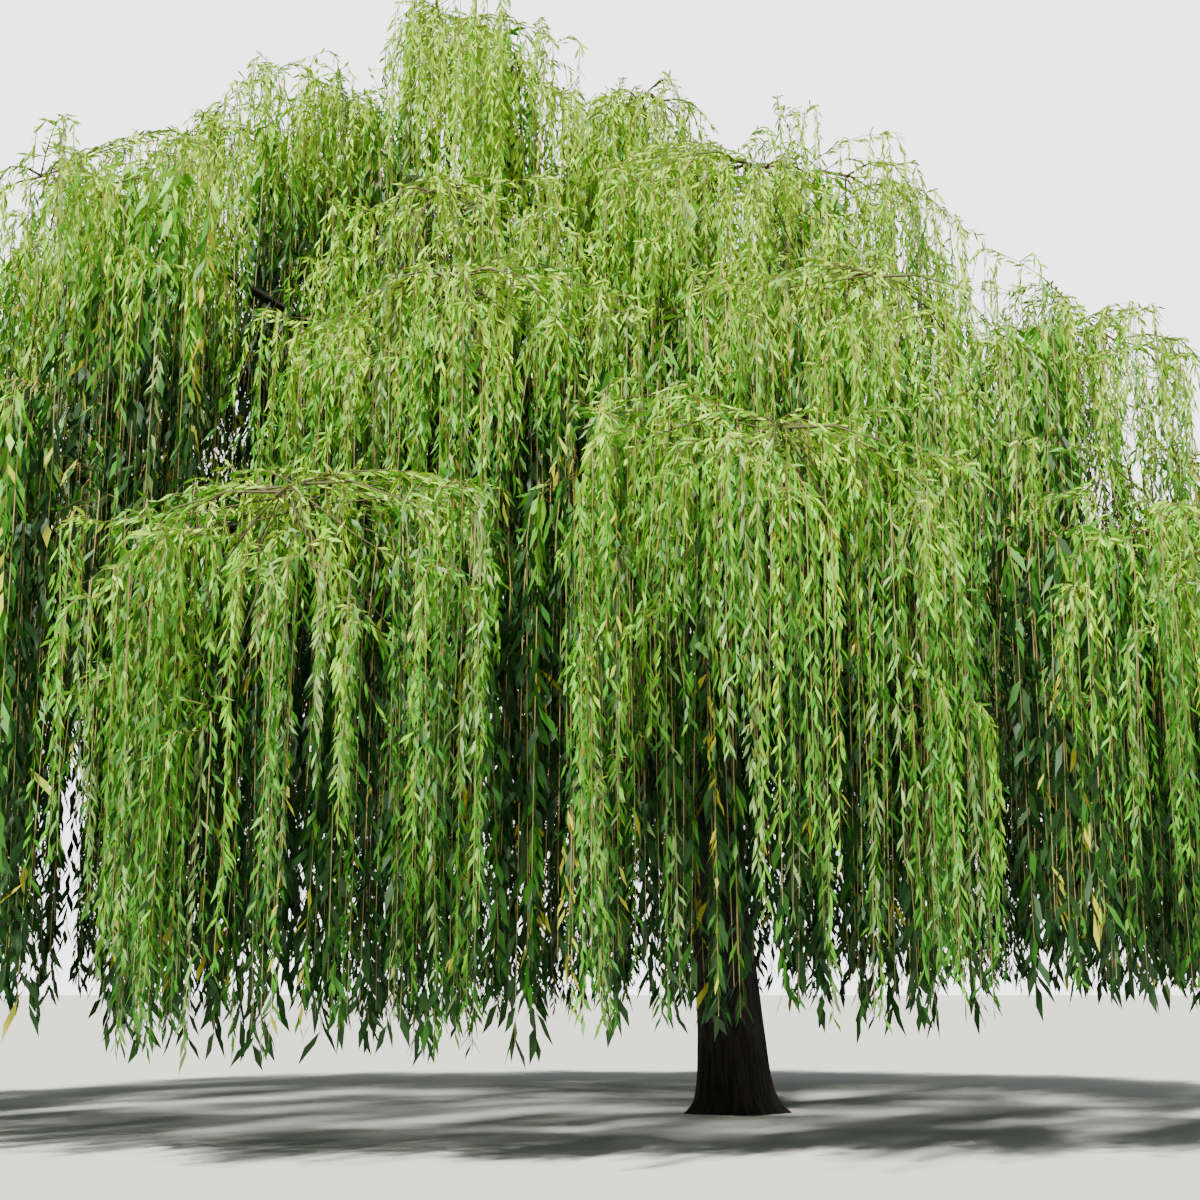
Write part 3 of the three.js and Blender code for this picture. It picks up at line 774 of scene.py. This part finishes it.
# %% All twigs
mass_stems, mass_twigs, mass_lower_twigs, limb_twigs = {}, {}, {}, {}
for order, limb in enumerate(limbs):
    mass, stem = limb["mass"], stem_of(limb["mass"], limb)
    index = next(i for i, m in enumerate(masses) if m is mass)
    random = seeded_numbers(SEED + order)
    turns = [i + 0.5 + TWIG["uneven"] * (random() - 0.5) for i in range(TWIG["count"])]
    twigs = [fitting_twig(index, stem, 2 * math.pi * turn / TWIG["count"]) for turn in turns]
    twigs += [fine_twig(index, limb, stem, random) for _ in range(FINE_TWIGS[mass["ring"]])]
    lower = [lower_twig(index, stem, random) for _ in range(LOWER_TWIGS[mass["ring"]])]
    bare = LEADER_BARE if order < len(leaders) else BOUGH_BARE
    many = int(limb["path"].length * SIDE_TWIGS_PER_METRE)
    limb_twigs[index] = [side_twig(limb, bare, random) for _ in range(many)]
    mass_stems[index] = stem
    mass_twigs[index] = [twig for twig in twigs if twig]
    mass_lower_twigs[index] = [twig for twig in lower if twig]
counts = [sum(len(group) for group in kind.values()) for kind in (mass_twigs, mass_lower_twigs, limb_twigs)]
print("twigs, lower twigs and side twigs:", counts)

# %% [markdown]
# ## Hanging strands
# A willow's shoots leave the twig like the jets of a fountain: out and a little up, then over, and then
# straight down for metres. One formula gives that line: it starts in the twig's direction and turns
# towards the ground over a short distance. The long strands stand in tresses, with gaps between them,
# short shoots cover the crest, and the ends of the twigs open in lower fountains. A strand that would
# leave its mass's space is tried closer in, and then it is left out.

# %% The line of a strand
STATIONS = np.array([0.0, 0.06, 0.17, 0.45, 1.0])
WAVE_PACE, WAVE_TURN, WAVE_SIZE = 2.1, 7, 0.02
GATHERING = 1.5  # above 1, a strand gathers inwards mostly near its foot


def strand_lines(roots, out, rise, turn, drop, sway):
    """Points along strands. out is the way and the distance that each swings out from its root."""
    fall = (drop + rise + turn)[:, None] * STATIONS[None, :]
    bent = 1 - np.exp(-fall / turn[:, None])
    flat = out[:, None, :] * bent[..., None]
    gather = sway[:, None, :] * (fall / drop[:, None])[..., None] ** GATHERING
    wave = np.sin(fall * WAVE_PACE + roots[:, 0:1] * WAVE_TURN) * WAVE_SIZE * bent
    points = roots[:, None, :] + flat + gather
    points[..., 0] += wave
    points[..., 2] += (rise + turn)[:, None] * bent - fall
    return points


nowhere, one = np.zeros((1, 3)), np.ones(1)
line = strand_lines(nowhere, nowhere, 0.2 * one, 0.4 * one, 5.0 * one, nowhere)
print("a strand of 5 m ends at", round(float(line[0, -1, 2]), 2))

# %% Strands that keep to a mass's space
OVERLAP = 0.25
CLOSER_IN = (1.0, 0.55, 0.2)


def grown(index, roots, out, rise, turn, drop, sway, gap):
    """Strands that keep to the space of their mass, tried closer in before they are left out."""
    kept = []
    left = np.arange(len(roots))
    for share in CLOSER_IN:
        swung = out[left] * share, rise[left], turn[left], drop[left], sway[left] * share
        lines = strand_lines(roots[left], *swung)
        fits = (room_at(index, lines, in_ring=True) > gap - OVERLAP).all(axis=1)
        kept.append(lines[fits])
        left = left[~fits]
    return np.concatenate(kept)


print("a strand is tried at", CLOSER_IN, "of its swing")

# %% Kinds of strands
# How far each kind climbs first, over what distance it turns down, how long it is, how far it swings
# out from its twig, and how much its foot strays. Long and inner strands reach for the mass's foot.
HANG = {
    "long": dict(rise=(0.02, 0.3), turn=(0.25, 0.6), swing=(0.1, 0.75), stray=0.06),
    "crest": dict(rise=(0.05, 0.32), turn=(0.25, 0.5), drop=(0.4, 2.0), swing=(0.1, 0.6), stray=0.03),
    "fountain": dict(rise=(0.03, 0.25), turn=(0.22, 0.45), drop=(0.9, 4.2), swing=(0.12, 0.55), stray=0.04),
    "limb": dict(rise=(0.05, 0.3), turn=(0.25, 0.5), drop=(0.7, 3.2), swing=(0.1, 0.5), stray=0.05),
    "inner": dict(rise=0.05, turn=0.3, stray=0.1),
}
chance = np.random.default_rng(SEED)
KINDS = {}


def drawn(kind, count, *parts):
    return [chance.uniform(*HANG[kind][part], count) for part in parts]


def level_noise(count, spread):
    return chance.normal(0, spread, (count, 3)) * [1, 1, 0]


def hang(kind, rule):
    """Hangs one kind of strand on every mass."""
    KINDS[kind] = [rule(index) for index in range(len(masses))]
    falls = np.concatenate([np.ptp(lines[..., 2], axis=1) for lines in KINDS[kind]])
    print(len(falls), "strands of the kind", kind, "with falls up to", round(float(falls.max()), 1), "m")


print("kinds of strands:", list(HANG))

# %% Places on twigs, and ways out of them
def spots_on(carriers, count, nearest):
    """Places spread evenly over several twigs, by their length: the twig's number, and how far along it."""
    spans = np.array([carrier["span"] for carrier in carriers])
    ends = np.cumsum(spans) / spans.sum()
    even = (np.arange(count) + chance.random(count)) / count
    which = np.minimum(np.searchsorted(ends, even), len(carriers) - 1)
    before = np.concatenate([[0], ends])[which]
    return which, nearest + (1 - nearest) * (even - before) * spans.sum() / spans[which]


def roots_on(carriers, count, nearest):
    which, at = spots_on(carriers, count, nearest)
    return np.concatenate([middle_at(carriers[k], share) for k, share in zip(which, at)])


def all_round(kind, count):
    around = chance.uniform(0, 2 * math.pi, count)
    ways = np.stack([np.cos(around), np.sin(around), np.zeros(count)], axis=1)
    return ways * chance.uniform(*HANG[kind]["swing"], (count, 1))


print("chance is seeded with", SEED)

# %% Long strands, in tresses
LONG = by_ring(50, 40, 45, 60)
RAGGED = by_ring(0.8, 0.8, 0.75, 0.5)
EVEN_FEET = 2.4  # above 1, most strands of a mass reach its foot
PER_TRESS, TRESS_SPREAD, TRESS_SCATTER = 5, 0.06, 0.1
FORWARD, ASIDE, INWARD = (-0.1, 0.7), (0.1, 0.8), 0.25


def long_strands(index):
    mass, twigs = masses[index], mass_twigs[index]
    roots, out = [], []
    for k, at in zip(*spots_on(twigs, LONG[mass["ring"]] // PER_TRESS, 0.12)):
        way = twigs[k]["way"]
        shares = np.clip(at + chance.normal(0, TRESS_SPREAD, PER_TRESS), 0.05, 1)
        roots.append(middle_at(twigs[k], shares))
        swing = chance.uniform(*HANG["long"]["swing"])
        facing = chance.choice([-1.0, 1.0])
        forward = swing * chance.uniform(*FORWARD) + chance.normal(0, TRESS_SCATTER, PER_TRESS)
        aside = facing * swing * chance.uniform(*ASIDE) + chance.normal(0, TRESS_SCATTER, PER_TRESS)
        out.append(way * forward[:, None] + np.cross(way, UP) * aside[:, None])
    roots, out = np.concatenate(roots), np.concatenate(out)
    n = len(roots)
    drop = (roots[:, 2] - mass["foot"]) * (1 - RAGGED[mass["ring"]] * chance.random(n) ** EVEN_FEET)
    rise, turn = drawn("long", n, "rise", "turn")
    sway = level_noise(n, HANG["long"]["stray"]) - out * INWARD
    return grown(index, roots, out, rise, turn, drop, sway, gap_round(mass))


hang("long", long_strands)

# %% Short shoots that cover the crest
CREST_SHOOTS = by_ring(80, 65, 65, 80)


def crest_shoots(index):
    n = CREST_SHOOTS[masses[index]["ring"]]
    roots = roots_on(mass_twigs[index] + [mass_stems[index]], n, 0.0)
    out = all_round("crest", n)
    rise, turn, drop = drawn("crest", n, "rise", "turn", "drop")
    sway = level_noise(n, HANG["crest"]["stray"])
    return grown(index, roots, out, rise, turn, drop, sway, gap_round(masses[index]))


hang("crest", crest_shoots)

# %% Lower fountains
PER_FOUNTAIN, PER_TWIG_END, SHORT_TWIG = 8, 3, 0.9
FAN = (-1.9, 1.9)  # how far a fan opens to each side, in radians
LAST_PART, TO_THE_END = 0.3, 1.3  # they leave the last part of a twig, most of them near its end
SHORTER, UNEVEN_FEET, LEAST_DROP, FAN_INWARD = (0.7, 1.0), (0.7, 1.1), 0.5, 0.2


def fountain_strands(index):
    """Strands from the ends of twigs, which open like a fan towards the outside."""
    foot, groups, size = masses[index]["foot"], [], HANG["fountain"]
    fans = [(twig, PER_FOUNTAIN) for twig in mass_lower_twigs[index]]
    fans += [(twig, PER_TWIG_END) for twig in mass_twigs[index] if twig["span"] > SHORT_TWIG]
    for twig, n in fans:
        roots = middle_at(twig, 1 - LAST_PART * chance.random(n) ** TO_THE_END)
        aside = chance.uniform(*FAN, n)[:, None]
        ways = twig["way"] * np.cos(aside) + np.cross(twig["way"], UP) * np.sin(aside)
        out = ways * chance.uniform(*size["swing"], (n, 1))
        to_foot = np.maximum(roots[:, 2] - foot, LEAST_DROP) * chance.uniform(*SHORTER, n)
        drop = np.minimum(to_foot, chance.uniform(*size["drop"]) * chance.uniform(*UNEVEN_FEET, n))
        rise, turn = drawn("fountain", n, "rise", "turn")
        sway = level_noise(n, size["stray"]) - out * FAN_INWARD
        groups.append(grown(index, roots, out, rise, turn, drop, sway, gap_round(masses[index])))
    return np.concatenate(groups)


hang("fountain", fountain_strands)

# %% [markdown]
# ## Shade inside the crown
# A willow bears leaves all the way in to its limbs, in deep shade. Without them the sky would show from
# one side of the crown to the other. Strands hang from the side twigs of the limbs, and a curtain hangs
# on the side of each mass that faces the trunk. Its few large leaves do there what many small ones do on
# the tree, which nobody can tell in the shade and which keeps the count low.

# %% Strands on the limbs
PER_SIDE_TWIG = 6


def limb_strands(index):
    """Strands on the side twigs of the limb that carries a mass."""
    n = len(limb_twigs[index]) * PER_SIDE_TWIG
    roots = roots_on(limb_twigs[index], n, 0.15)
    out = all_round("limb", n)
    rise, turn, drop = drawn("limb", n, "rise", "turn", "drop")
    return strand_lines(roots, out, rise, turn, drop, level_noise(n, HANG["limb"]["stray"]))


hang("limb", limb_strands)

# %% Strands inside the crown
INNER = by_ring(12, 18, 36, 80)
INNER_WIDTH = by_ring(0.6, 0.75, 0.9, 1.05)
TOWARDS_TRUNK, UNDER_CREST, INNER_SIDE_FALL = (0.1, 0.9), 0.35, 0.6
NEARLY_TO_FOOT, INNER_SPREAD = (0.8, 1.0), 0.15


def inner_strands(index):
    """Shaded strands on the side of a mass that faces the trunk."""
    mass, n, size = masses[index], INNER[masses[index]["ring"]], HANG["inner"]
    across = (np.arange(n) + chance.random(n)) / n * 2 - 1
    aside = INNER_WIDTH[mass["ring"]] * across * mass["half_width"]
    roots = np.array([mass["x"], mass["y"], 0]) + mass["sideways"] * aside[:, None]
    roots = roots - mass["outward"] * chance.uniform(*TOWARDS_TRUNK, (n, 1))
    roots[:, 2] = mass["crest"] - UNDER_CREST - INNER_SIDE_FALL * across**2
    drop = (roots[:, 2] - mass["foot"]) * chance.uniform(*NEARLY_TO_FOOT, n)
    rise, turn = np.full(n, size["rise"]), np.full(n, size["turn"])
    out, sway = level_noise(n, INNER_SPREAD), level_noise(n, size["stray"])
    return grown(index, roots, out, rise, turn, drop, sway, gap=0)


hang("inner", inner_strands)

# %% Leafy ends of the twigs
UPPER_BARE, LOWER_BARE = 0.15, 0.55


def leafy_end(twig, bare):
    """The outer part of a twig as a line, so that it carries leaves as the strands do."""
    share = bare + (1 - bare) * STATIONS
    return 0.5 * (middle_at(twig, share) + twig["path"].at(share))


def twig_ends(index):
    upper = mass_twigs[index] + limb_twigs[index] + [mass_stems[index]]
    return np.stack([leafy_end(twig, UPPER_BARE) for twig in upper]
                    + [leafy_end(twig, LOWER_BARE) for twig in mass_lower_twigs[index]])


hang("end", twig_ends)

# %% All strands together
KIND = {kind: number for number, kind in enumerate(KINDS)}
strands = np.concatenate([lines for groups in KINDS.values() for lines in groups])
kinds = np.repeat(list(KIND.values()), [sum(len(lines) for lines in groups) for groups in KINDS.values()])
lengths = np.linalg.norm(np.diff(strands, axis=1), axis=2).sum(axis=1)
lowest = round(float(strands[..., 2].min()), 2)
print(len(strands), "strands,", round(float(lengths.sum())), "m in all; the lowest ends", lowest, "m up")

# %% [markdown]
# ## Leaves
# A willow's leaf is a lance, long and thin, and it hangs from its strand at a sharp angle with its tip
# down. Real ones are about ten centimetres long, and there are too many to model. Here each stands for
# several, so it is up to twice that, and larger still inside the crown. A leaf is four corners and two
# triangles: its foot, one corner on each side, and a tip that droops. That gives it its own outline.

# %% Where leaves sit
LEAF = {
    "long": dict(spacing=0.055, length=0.175, width=0.039),
    "crest": dict(spacing=0.044, length=0.155, width=0.035),
    "fountain": dict(spacing=0.053, length=0.165, width=0.038),
    "limb": dict(spacing=0.075, length=0.2, width=0.045),
    "inner": dict(spacing=0.1, length=0.31, width=0.082),
    "end": dict(spacing=0.056, length=0.16, width=0.037),
}
LEAF_SIZES = {part: np.array([LEAF[kind][part] for kind in KINDS]) for part in ("spacing", "length", "width")}
FEWEST_LEAVES = 2
FIRST, UNEVEN = 0.3, 0.4  # where a leaf sits in its own stretch of the strand, and how much that varies


def leaf_places():
    """For each leaf: the strand it is on, and how far along that strand it sits."""
    count = np.maximum((lengths / LEAF_SIZES["spacing"][kinds]).astype(int), FEWEST_LEAVES)
    which = np.repeat(np.arange(len(strands)), count)
    order = np.arange(count.sum()) - np.repeat(np.cumsum(count) - count, count)
    return which, (order + FIRST + UNEVEN * chance.random(len(order))) / np.repeat(count, count)


which, share = leaf_places()
steps = np.linalg.norm(np.diff(strands, axis=1), axis=2)
reached = np.concatenate([np.zeros((len(strands), 1)), np.cumsum(steps, axis=1)], axis=1)
distance = share * lengths[which]
section = (reached[which, 1:-1] < distance[:, None]).sum(axis=1)
within = (distance - reached[which, section]) / np.maximum(steps[which, section], 1e-6)
start, end = strands[which, section], strands[which, section + 1]
leaf_root = start + (end - start) * within[:, None]
leaf_way = unit(end - start)
print(len(which), "places for leaves")

# %% [markdown]
# ## Depth inside the crown
# Leaves that hang well inside the crown are larger and fewer, as shade leaves are on any tree, and they are
# painted darker, as painted shade. The real crown has many times more leaves, which keep the light out, so
# here the depth of each leaf is measured and its colour is painted darker with it. The depth is the shorter
# of two ways out: sideways to the crown's outside at its bearing and height, and up to the crown's top above
# it. Both surfaces are tables of the furthest leaf in a cell.

# %% How deep each leaf hangs
BEARING_CELLS, CELL, MOST_DEPTH = 40, 0.8, 3.0
OUTER_KINDS = [KIND[kind] for kind in ("long", "crest", "fountain")]


def furthest(cells, values, shape):
    """The largest value in each cell of a table."""
    table = np.zeros(shape)
    np.maximum.at(table, cells, values)
    return table


flat = leaf_root[:, :2] - [CROWN_MIDDLE, 0]
radial = np.hypot(flat[:, 0], flat[:, 1])
turn = np.arctan2(flat[:, 1], flat[:, 0]) / (2 * math.pi) + 0.5
bearing_cell = (turn * BEARING_CELLS).astype(int) % BEARING_CELLS
height_cell = np.maximum(leaf_root[:, 2] / CELL, 0).astype(int)
plan_cell = ((leaf_root[:, :2] - leaf_root[:, :2].min(axis=0)) / CELL).astype(int)
outside = np.isin(kinds[which], OUTER_KINDS)
outer = furthest((bearing_cell[outside], height_cell[outside]), radial[outside],
                 (BEARING_CELLS, height_cell.max() + 1))
outer = np.max([np.roll(outer, step, axis=0) for step in (-1, 0, 1)], axis=0)
top = furthest(tuple(plan_cell.T), leaf_root[:, 2], plan_cell.max(axis=0) + 1)
sideways, upwards = outer[bearing_cell, height_cell] - radial, top[tuple(plan_cell.T)] - leaf_root[:, 2]
depth = np.clip(np.minimum(sideways, upwards), 0, MOST_DEPTH)
print("a leaf hangs", round(float(depth.mean()), 2), "m deep on average")

# %% Thin out the shade
SHADE_DEPTH, SHADE_SHARE, SHADE_SIZE = 2.0, 0.36, 1.42
shaded = (depth > SHADE_DEPTH) & outside
kept = ~shaded | (chance.random(len(which)) < SHADE_SHARE)
which, distance, depth, shaded, outside, leaf_root, leaf_way = (
    values[kept] for values in (which, distance, depth, shaded, outside, leaf_root, leaf_way))
print(len(which), "leaves,", int(shaded.sum()), "of them in the shade")

# %% The shape of every leaf
LEAF_ANGLE, ANGLE_SPREAD = 31, 11  # between a leaf and its strand, in degrees
PULLED_DOWN, TIP_DROOP = 0.12, 0.16  # how much its weight pulls the whole leaf down, and its tip
LENGTHS, WIDTHS = (0.72, 1.2), (0.8, 1.2)
SIDES_AT = (0.33, 0.6)  # where its two side corners are, along its rib
LEAF_FACES = np.array([[0, 2, 1], [1, 2, 3]])


def leaf_corners(root, way, kind, scale):
    n = len(root)
    spin = chance.uniform(0, 2 * math.pi, n)
    around = np.stack([np.cos(spin), np.sin(spin), np.zeros(n)], axis=1)
    side = unit(around - way * (around * way).sum(axis=1, keepdims=True))
    tilt = np.radians(chance.normal(LEAF_ANGLE, ANGLE_SPREAD, n))[:, None]
    point = unit(way * np.cos(tilt) + side * np.sin(tilt) - UP * PULLED_DOWN)
    turn = chance.uniform(0, 2 * math.pi, n)[:, None]
    blade = unit(np.cross(point, side) * np.cos(turn) + np.cross(point, np.cross(point, side)) * np.sin(turn))
    length = (LEAF_SIZES["length"][kind] * scale * chance.uniform(*LENGTHS, n))[:, None]
    width = (LEAF_SIZES["width"][kind] / 2 * scale * chance.uniform(*WIDTHS, n))[:, None]

    def rib(share):
        return root + point * length * share - UP * length * TIP_DROOP * share**2

    one_side, other_side = rib(SIDES_AT[0]) + blade * width, rib(SIDES_AT[1]) - blade * width
    return np.stack([rib(0), one_side, other_side, rib(1)], axis=1)


leaf_shapes = leaf_corners(leaf_root, leaf_way, kinds[which], np.where(shaded, SHADE_SIZE, 1.0))
print("leaves take", len(which) * len(LEAF_FACES), "triangles")

# %% [markdown]
# ## Colours of the leaves
# Leaves are painted lighter where light falls and darker in the shade, as painted light and painted shade:
# yellow-green at the tops of the fountains and high up, mid and deep green lower down and further in, and
# shade green deepest inside. Some turn their grey undersides out. Each colour is one plain finish, so it
# needs no image. Each leaf gets a number for how light it is painted: painted light and shade from its
# height, its depth, its kind of strand and its distance from the twig, and its own tone from some chance
# for the whole strand and some for the leaf. Six colours are dealt out by that number, and then some
# strands turn grey and some a little yellow.

# %% Leaf finishes
# From yellow green down to shade green, these are one leaf green painted lighter and darker, as painted light
# and painted shade, over the leaves' own varied tone; grey green and yellow tint are the leaves' own colours.
LEAF_COLOURS = {
    "yellow_green": "#abda30",
    "light_green": "#84c428",
    "fresh_green": "#63aa20",
    "mid_green": "#458a1a",
    "grey_green": "#80a65c",
    "deep_green": "#2c6614",
    "shade_green": "#163e0d",
    "yellow_tint": "#aeb02e",
}


def leaf_finish(name, colour):
    leaf = Finish(f"willow_leaf_{name}")
    return leaf.wear(Base_Color=paint(colour), Roughness=0.56, Specular_IOR_Level=0.32)


leaf_finishes = {name: leaf_finish(name, colour) for name, colour in LEAF_COLOURS.items()}
print(len(leaf_finishes), "leaf finishes")

# %% Deal the colours out
# Painted light and shade by kind of strand: crest shoots and twig ends on top of the domes are painted
# lighter, strands on the limbs and inside the crown darker.
PAINTED_LIGHT_BY_KIND = {"long": 0.1, "crest": 0.9, "fountain": 0.25, "limb": -0.6, "inner": -1.0, "end": 0.8}
STRAND_MOOD, LEAF_MOOD = 0.8, 0.55
# Painted light: leaves near their twig, at the top of each cascade where the light falls, are painted
# lighter.
NEAR_TWIG_LIGHT, NEAR_TWIG_LENGTH = 1.2, 0.8
# Painted light: leaves are painted lighter higher up and darker lower down, as the light falls from above.
PAINTED_LIGHT_PER_METRE, MIDDLE_HEIGHT = 0.24, 7.5
# Painted shade: leaves are painted lighter at the crown's outside and darker with their depth inside it,
# darker still past DEEP.
OUTSIDE_LIGHT, PAINTED_SHADE_PER_METRE, DEEP_PAINTED_SHADE, DEEP = 0.6, 0.4, 1.3, 1.5
# Steps of painted light and shade, over the leaves' own tone, from shade green to yellow green.
FROM_SHADE_TO_LIGHT = (-1.7, -0.7, 0.25, 1.0, 1.9)
BY_LIGHT_AND_TONE = ("shade_green", "deep_green", "mid_green", "fresh_green", "light_green", "yellow_green")
GREY_STRANDS, GREY_LEAVES = 0.14, 0.7
YELLOWED_STRANDS, YELLOWED_LEAVES, YELLOWED_FROM = 0.08, 0.25, 0.6

names = list(LEAF_COLOURS)
strand_mood = chance.normal(0, STRAND_MOOD, len(strands))[which]
painted_light_by_kind = np.array([PAINTED_LIGHT_BY_KIND[kind] for kind in KINDS])[kinds[which]]
painted_light_by_height = PAINTED_LIGHT_PER_METRE * (leaf_root[:, 2] - MIDDLE_HEIGHT)
painted_shade_by_depth = OUTSIDE_LIGHT - PAINTED_SHADE_PER_METRE * depth - DEEP_PAINTED_SHADE * np.maximum(depth - DEEP, 0)
painted_light_near_twig = NEAR_TWIG_LIGHT * np.exp(-distance / NEAR_TWIG_LENGTH)
leaf_mood = chance.normal(0, LEAF_MOOD, len(which))
# How light each leaf is painted: painted light and shade, plus the leaves' own tone, which varies at random
# by strand and by leaf.
painted_light_and_tone = painted_light_near_twig + painted_shade_by_depth + painted_light_by_height + painted_light_by_kind + strand_mood + leaf_mood
dealt = np.array([names.index(name) for name in BY_LIGHT_AND_TONE])[np.digitize(painted_light_and_tone, FROM_SHADE_TO_LIGHT)]
grey = (chance.random(len(strands))[which] < GREY_STRANDS) & outside
dealt[grey & (chance.random(len(which)) < GREY_LEAVES)] = names.index("grey_green")
yellowed = (chance.random(len(strands))[which] < YELLOWED_STRANDS) & (distance > YELLOWED_FROM)
dealt[yellowed & (chance.random(len(which)) < YELLOWED_LEAVES)] = names.index("yellow_tint")
print({name: int((dealt == i).sum()) for i, name in enumerate(names)})

# %% Leaf pieces
MOST_LEAVES = 95_000
for i, name in enumerate(names):
    chosen, finish = leaf_shapes[dealt == i], leaf_finishes[name]
    for part, shapes in enumerate(np.array_split(chosen, math.ceil(len(chosen) / MOST_LEAVES))):
        faces = (np.arange(len(shapes))[:, None, None] * 4 + LEAF_FACES).reshape(-1, 3)
        made = piece(f"leaves_{name}_{part + 1}", shapes.reshape(-1, 3), faces, finish)
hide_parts(*[m["name"] for m in masses])

# %% [markdown]
# ## Twigs
# The stems and twigs are green-brown and the hanging shoots are thin and tan to olive. They show as pale
# lines between the leaves, most where the shoots arch over. Three sides are enough for a shoot that is
# thinner than a finger.

# %% The rind of shoots and twigs
def twig_finish(name, low, high):
    rind = Finish(name)
    place = rind.node("ShaderNodeTexCoord", {}, out=3)
    patch = rind.node("ShaderNodeTexNoise", {}, {"Vector": place, "Scale": 3.0, "Detail": 2.0})
    return rind.wear(Base_Color=rind.mix(patch, paint(low), paint(high)), Roughness=0.7)


shoot_rind = twig_finish("willow_shoot", "#8a8a45", "#b09a62")
twig_rind = twig_finish("willow_twig", "#3f3a1e", "#5f5a30")
print("rind:", len(twig_rind.node_tree.nodes), "nodes each")

# %% Hanging shoots
SHOOT_STATIONS = [0, 1, 2, 4]  # of a strand's stations, as a shoot is nearly straight below the third
SHOOT_RADII = (0.008, 0.003)
THREE_SIDES = 3


def shoot_corners(lines):
    lines = lines[:, SHOOT_STATIONS]
    n, stations = lines.shape[:2]
    ways = unit(np.gradient(lines, axis=1))
    level = unit(np.stack([-ways[..., 1], ways[..., 0], np.full(ways.shape[:2], 1e-3)], axis=-1))
    aside = unit(level - ways * (level * ways).sum(-1, keepdims=True))
    radii = np.interp(STATIONS[SHOOT_STATIONS], [0, 1], SHOOT_RADII)[:, None, None]
    corners = corners_round(lines, aside, np.cross(aside, ways), radii, THREE_SIDES)
    faces = np.arange(n)[:, None, None] * stations * THREE_SIDES + tube_faces(THREE_SIDES, stations)
    return corners.reshape(-1, 3), faces.reshape(-1, 4)


shoots = []
for part, lines in enumerate(np.array_split(strands[kinds != KIND["end"]], 2)):
    corners, faces = shoot_corners(lines)
    shoots.append(piece(f"hanging_shoots_{part + 1}", corners, faces, shoot_rind))
print("shoots:", sum(len(shoot.data.polygons) for shoot in shoots), "faces")

# %% Stems and twigs
TWIG_SHARE, TIP_SHARE = 0.6, 0.5  # thinner than the frame's, as there are many more twigs here


def twig_tube(carrier, thickness):
    share = np.linspace(0, 1, 5 if carrier["rings"] < LOWER_TWIG["rings"] else 8)
    points = 0.5 * (middle_at(carrier, share) + carrier["path"].at(share))
    radii = np.interp(share, [0, 1], [carrier["base_radius"], carrier["tip_radius"] * TIP_SHARE]) * thickness
    return tube(points, radii, THREE_SIDES)


branchlets = []
for index in mass_twigs:
    branchlets.append(twig_tube(mass_stems[index], 1.0))
    for twig in mass_twigs[index] + mass_lower_twigs[index] + limb_twigs[index]:
        branchlets.append(twig_tube(twig, TWIG_SHARE))
corners, notes, faces = joined_tubes(branchlets, THREE_SIDES)
twigs_piece = piece("twigs", corners, faces, twig_rind, True, notes)
print("twigs:", len(twigs_piece.data.polygons), "faces")

# %% [markdown]
# ## Floor, light and camera
# The floor is plain and pale, and one high, soft key light from the viewer's left stands for the midday
# sun, with an even pale surround. What the camera sees behind the tree is brighter than the light that
# the surround gives, as the photo's sky is. The camera has the photograph's viewing angle: eye height,
# some 25 m away, tilted up a little.

# %% Floor
def floor_piece(half=400.0):
    mesh = bpy.data.meshes.new("floor")
    corners = [(-half, -half, 0), (half, -half, 0), (half, half, 0), (-half, half, 0)]
    mesh.from_pydata(corners, [], [(0, 1, 2, 3)])
    plain = Finish("floor_paint")
    speckle = plain.node("ShaderNodeTexNoise", {}, {"Scale": 0.4})
    mottled = plain.mix(speckle, (0.62, 0.62, 0.6), (0.66, 0.66, 0.64))
    mesh.materials.append(plain.wear(Base_Color=mottled, Roughness=0.9))
    made = add_to_scene("floor", mesh)
    return made


print("floor:", len(floor_piece().data.polygons), "face")

# %% Surround
LIT_BY, SEEN = dict(Color=(0.93, 0.96, 1.0), Strength=0.3), dict(Color=(1.0, 1.0, 1.0), Strength=3.5)

world = bpy.data.worlds.new("studio")
world.use_nodes = True
bpy.context.scene.world = world
surround = Sheet(world.node_tree)
even = surround.tree.nodes["Background"]
for name, value in LIT_BY.items():
    surround.feed(even.inputs[name], value)
seen = surround.node("ShaderNodeBackground", {}, SEEN)
camera_ray = surround.node("ShaderNodeLightPath")
backgrounds = {0: camera_ray, 1: Worth(surround, even.outputs[0]), 2: seen}
either = surround.node("ShaderNodeMixShader", {}, backgrounds)
surround.feed(surround.tree.nodes["World Output"].inputs["Surface"], either)
print("surround gives", LIT_BY["Strength"], "and is seen at", SEEN["Strength"])

# %% Key light and camera
KEY = dict(energy=10.0, angle=math.radians(6), color=(1.0, 0.98, 0.9))
CAMERA = dict(sensor_width=36, lens=54.75, clip_end=1000)
EYE, TILT = (-1.78, -24.9, 1.6), 102

key = add_to_scene("key_light", bpy.data.lights.new("key_light", "SUN"))
camera = add_to_scene("camera", bpy.data.cameras.new("camera"))
for made, settings in ((key, KEY), (camera, CAMERA)):
    for name, value in settings.items():
        setattr(made.data, name, value)
key.rotation_euler = (math.radians(27), math.radians(-17), 0)
camera.location, camera.rotation_euler = EYE, (math.radians(TILT), 0, 0)
bpy.context.scene.camera = camera
print("camera at", EYE, "with a lens of", CAMERA["lens"], "mm")

# %% Update the scene
bpy.context.view_layer.update()
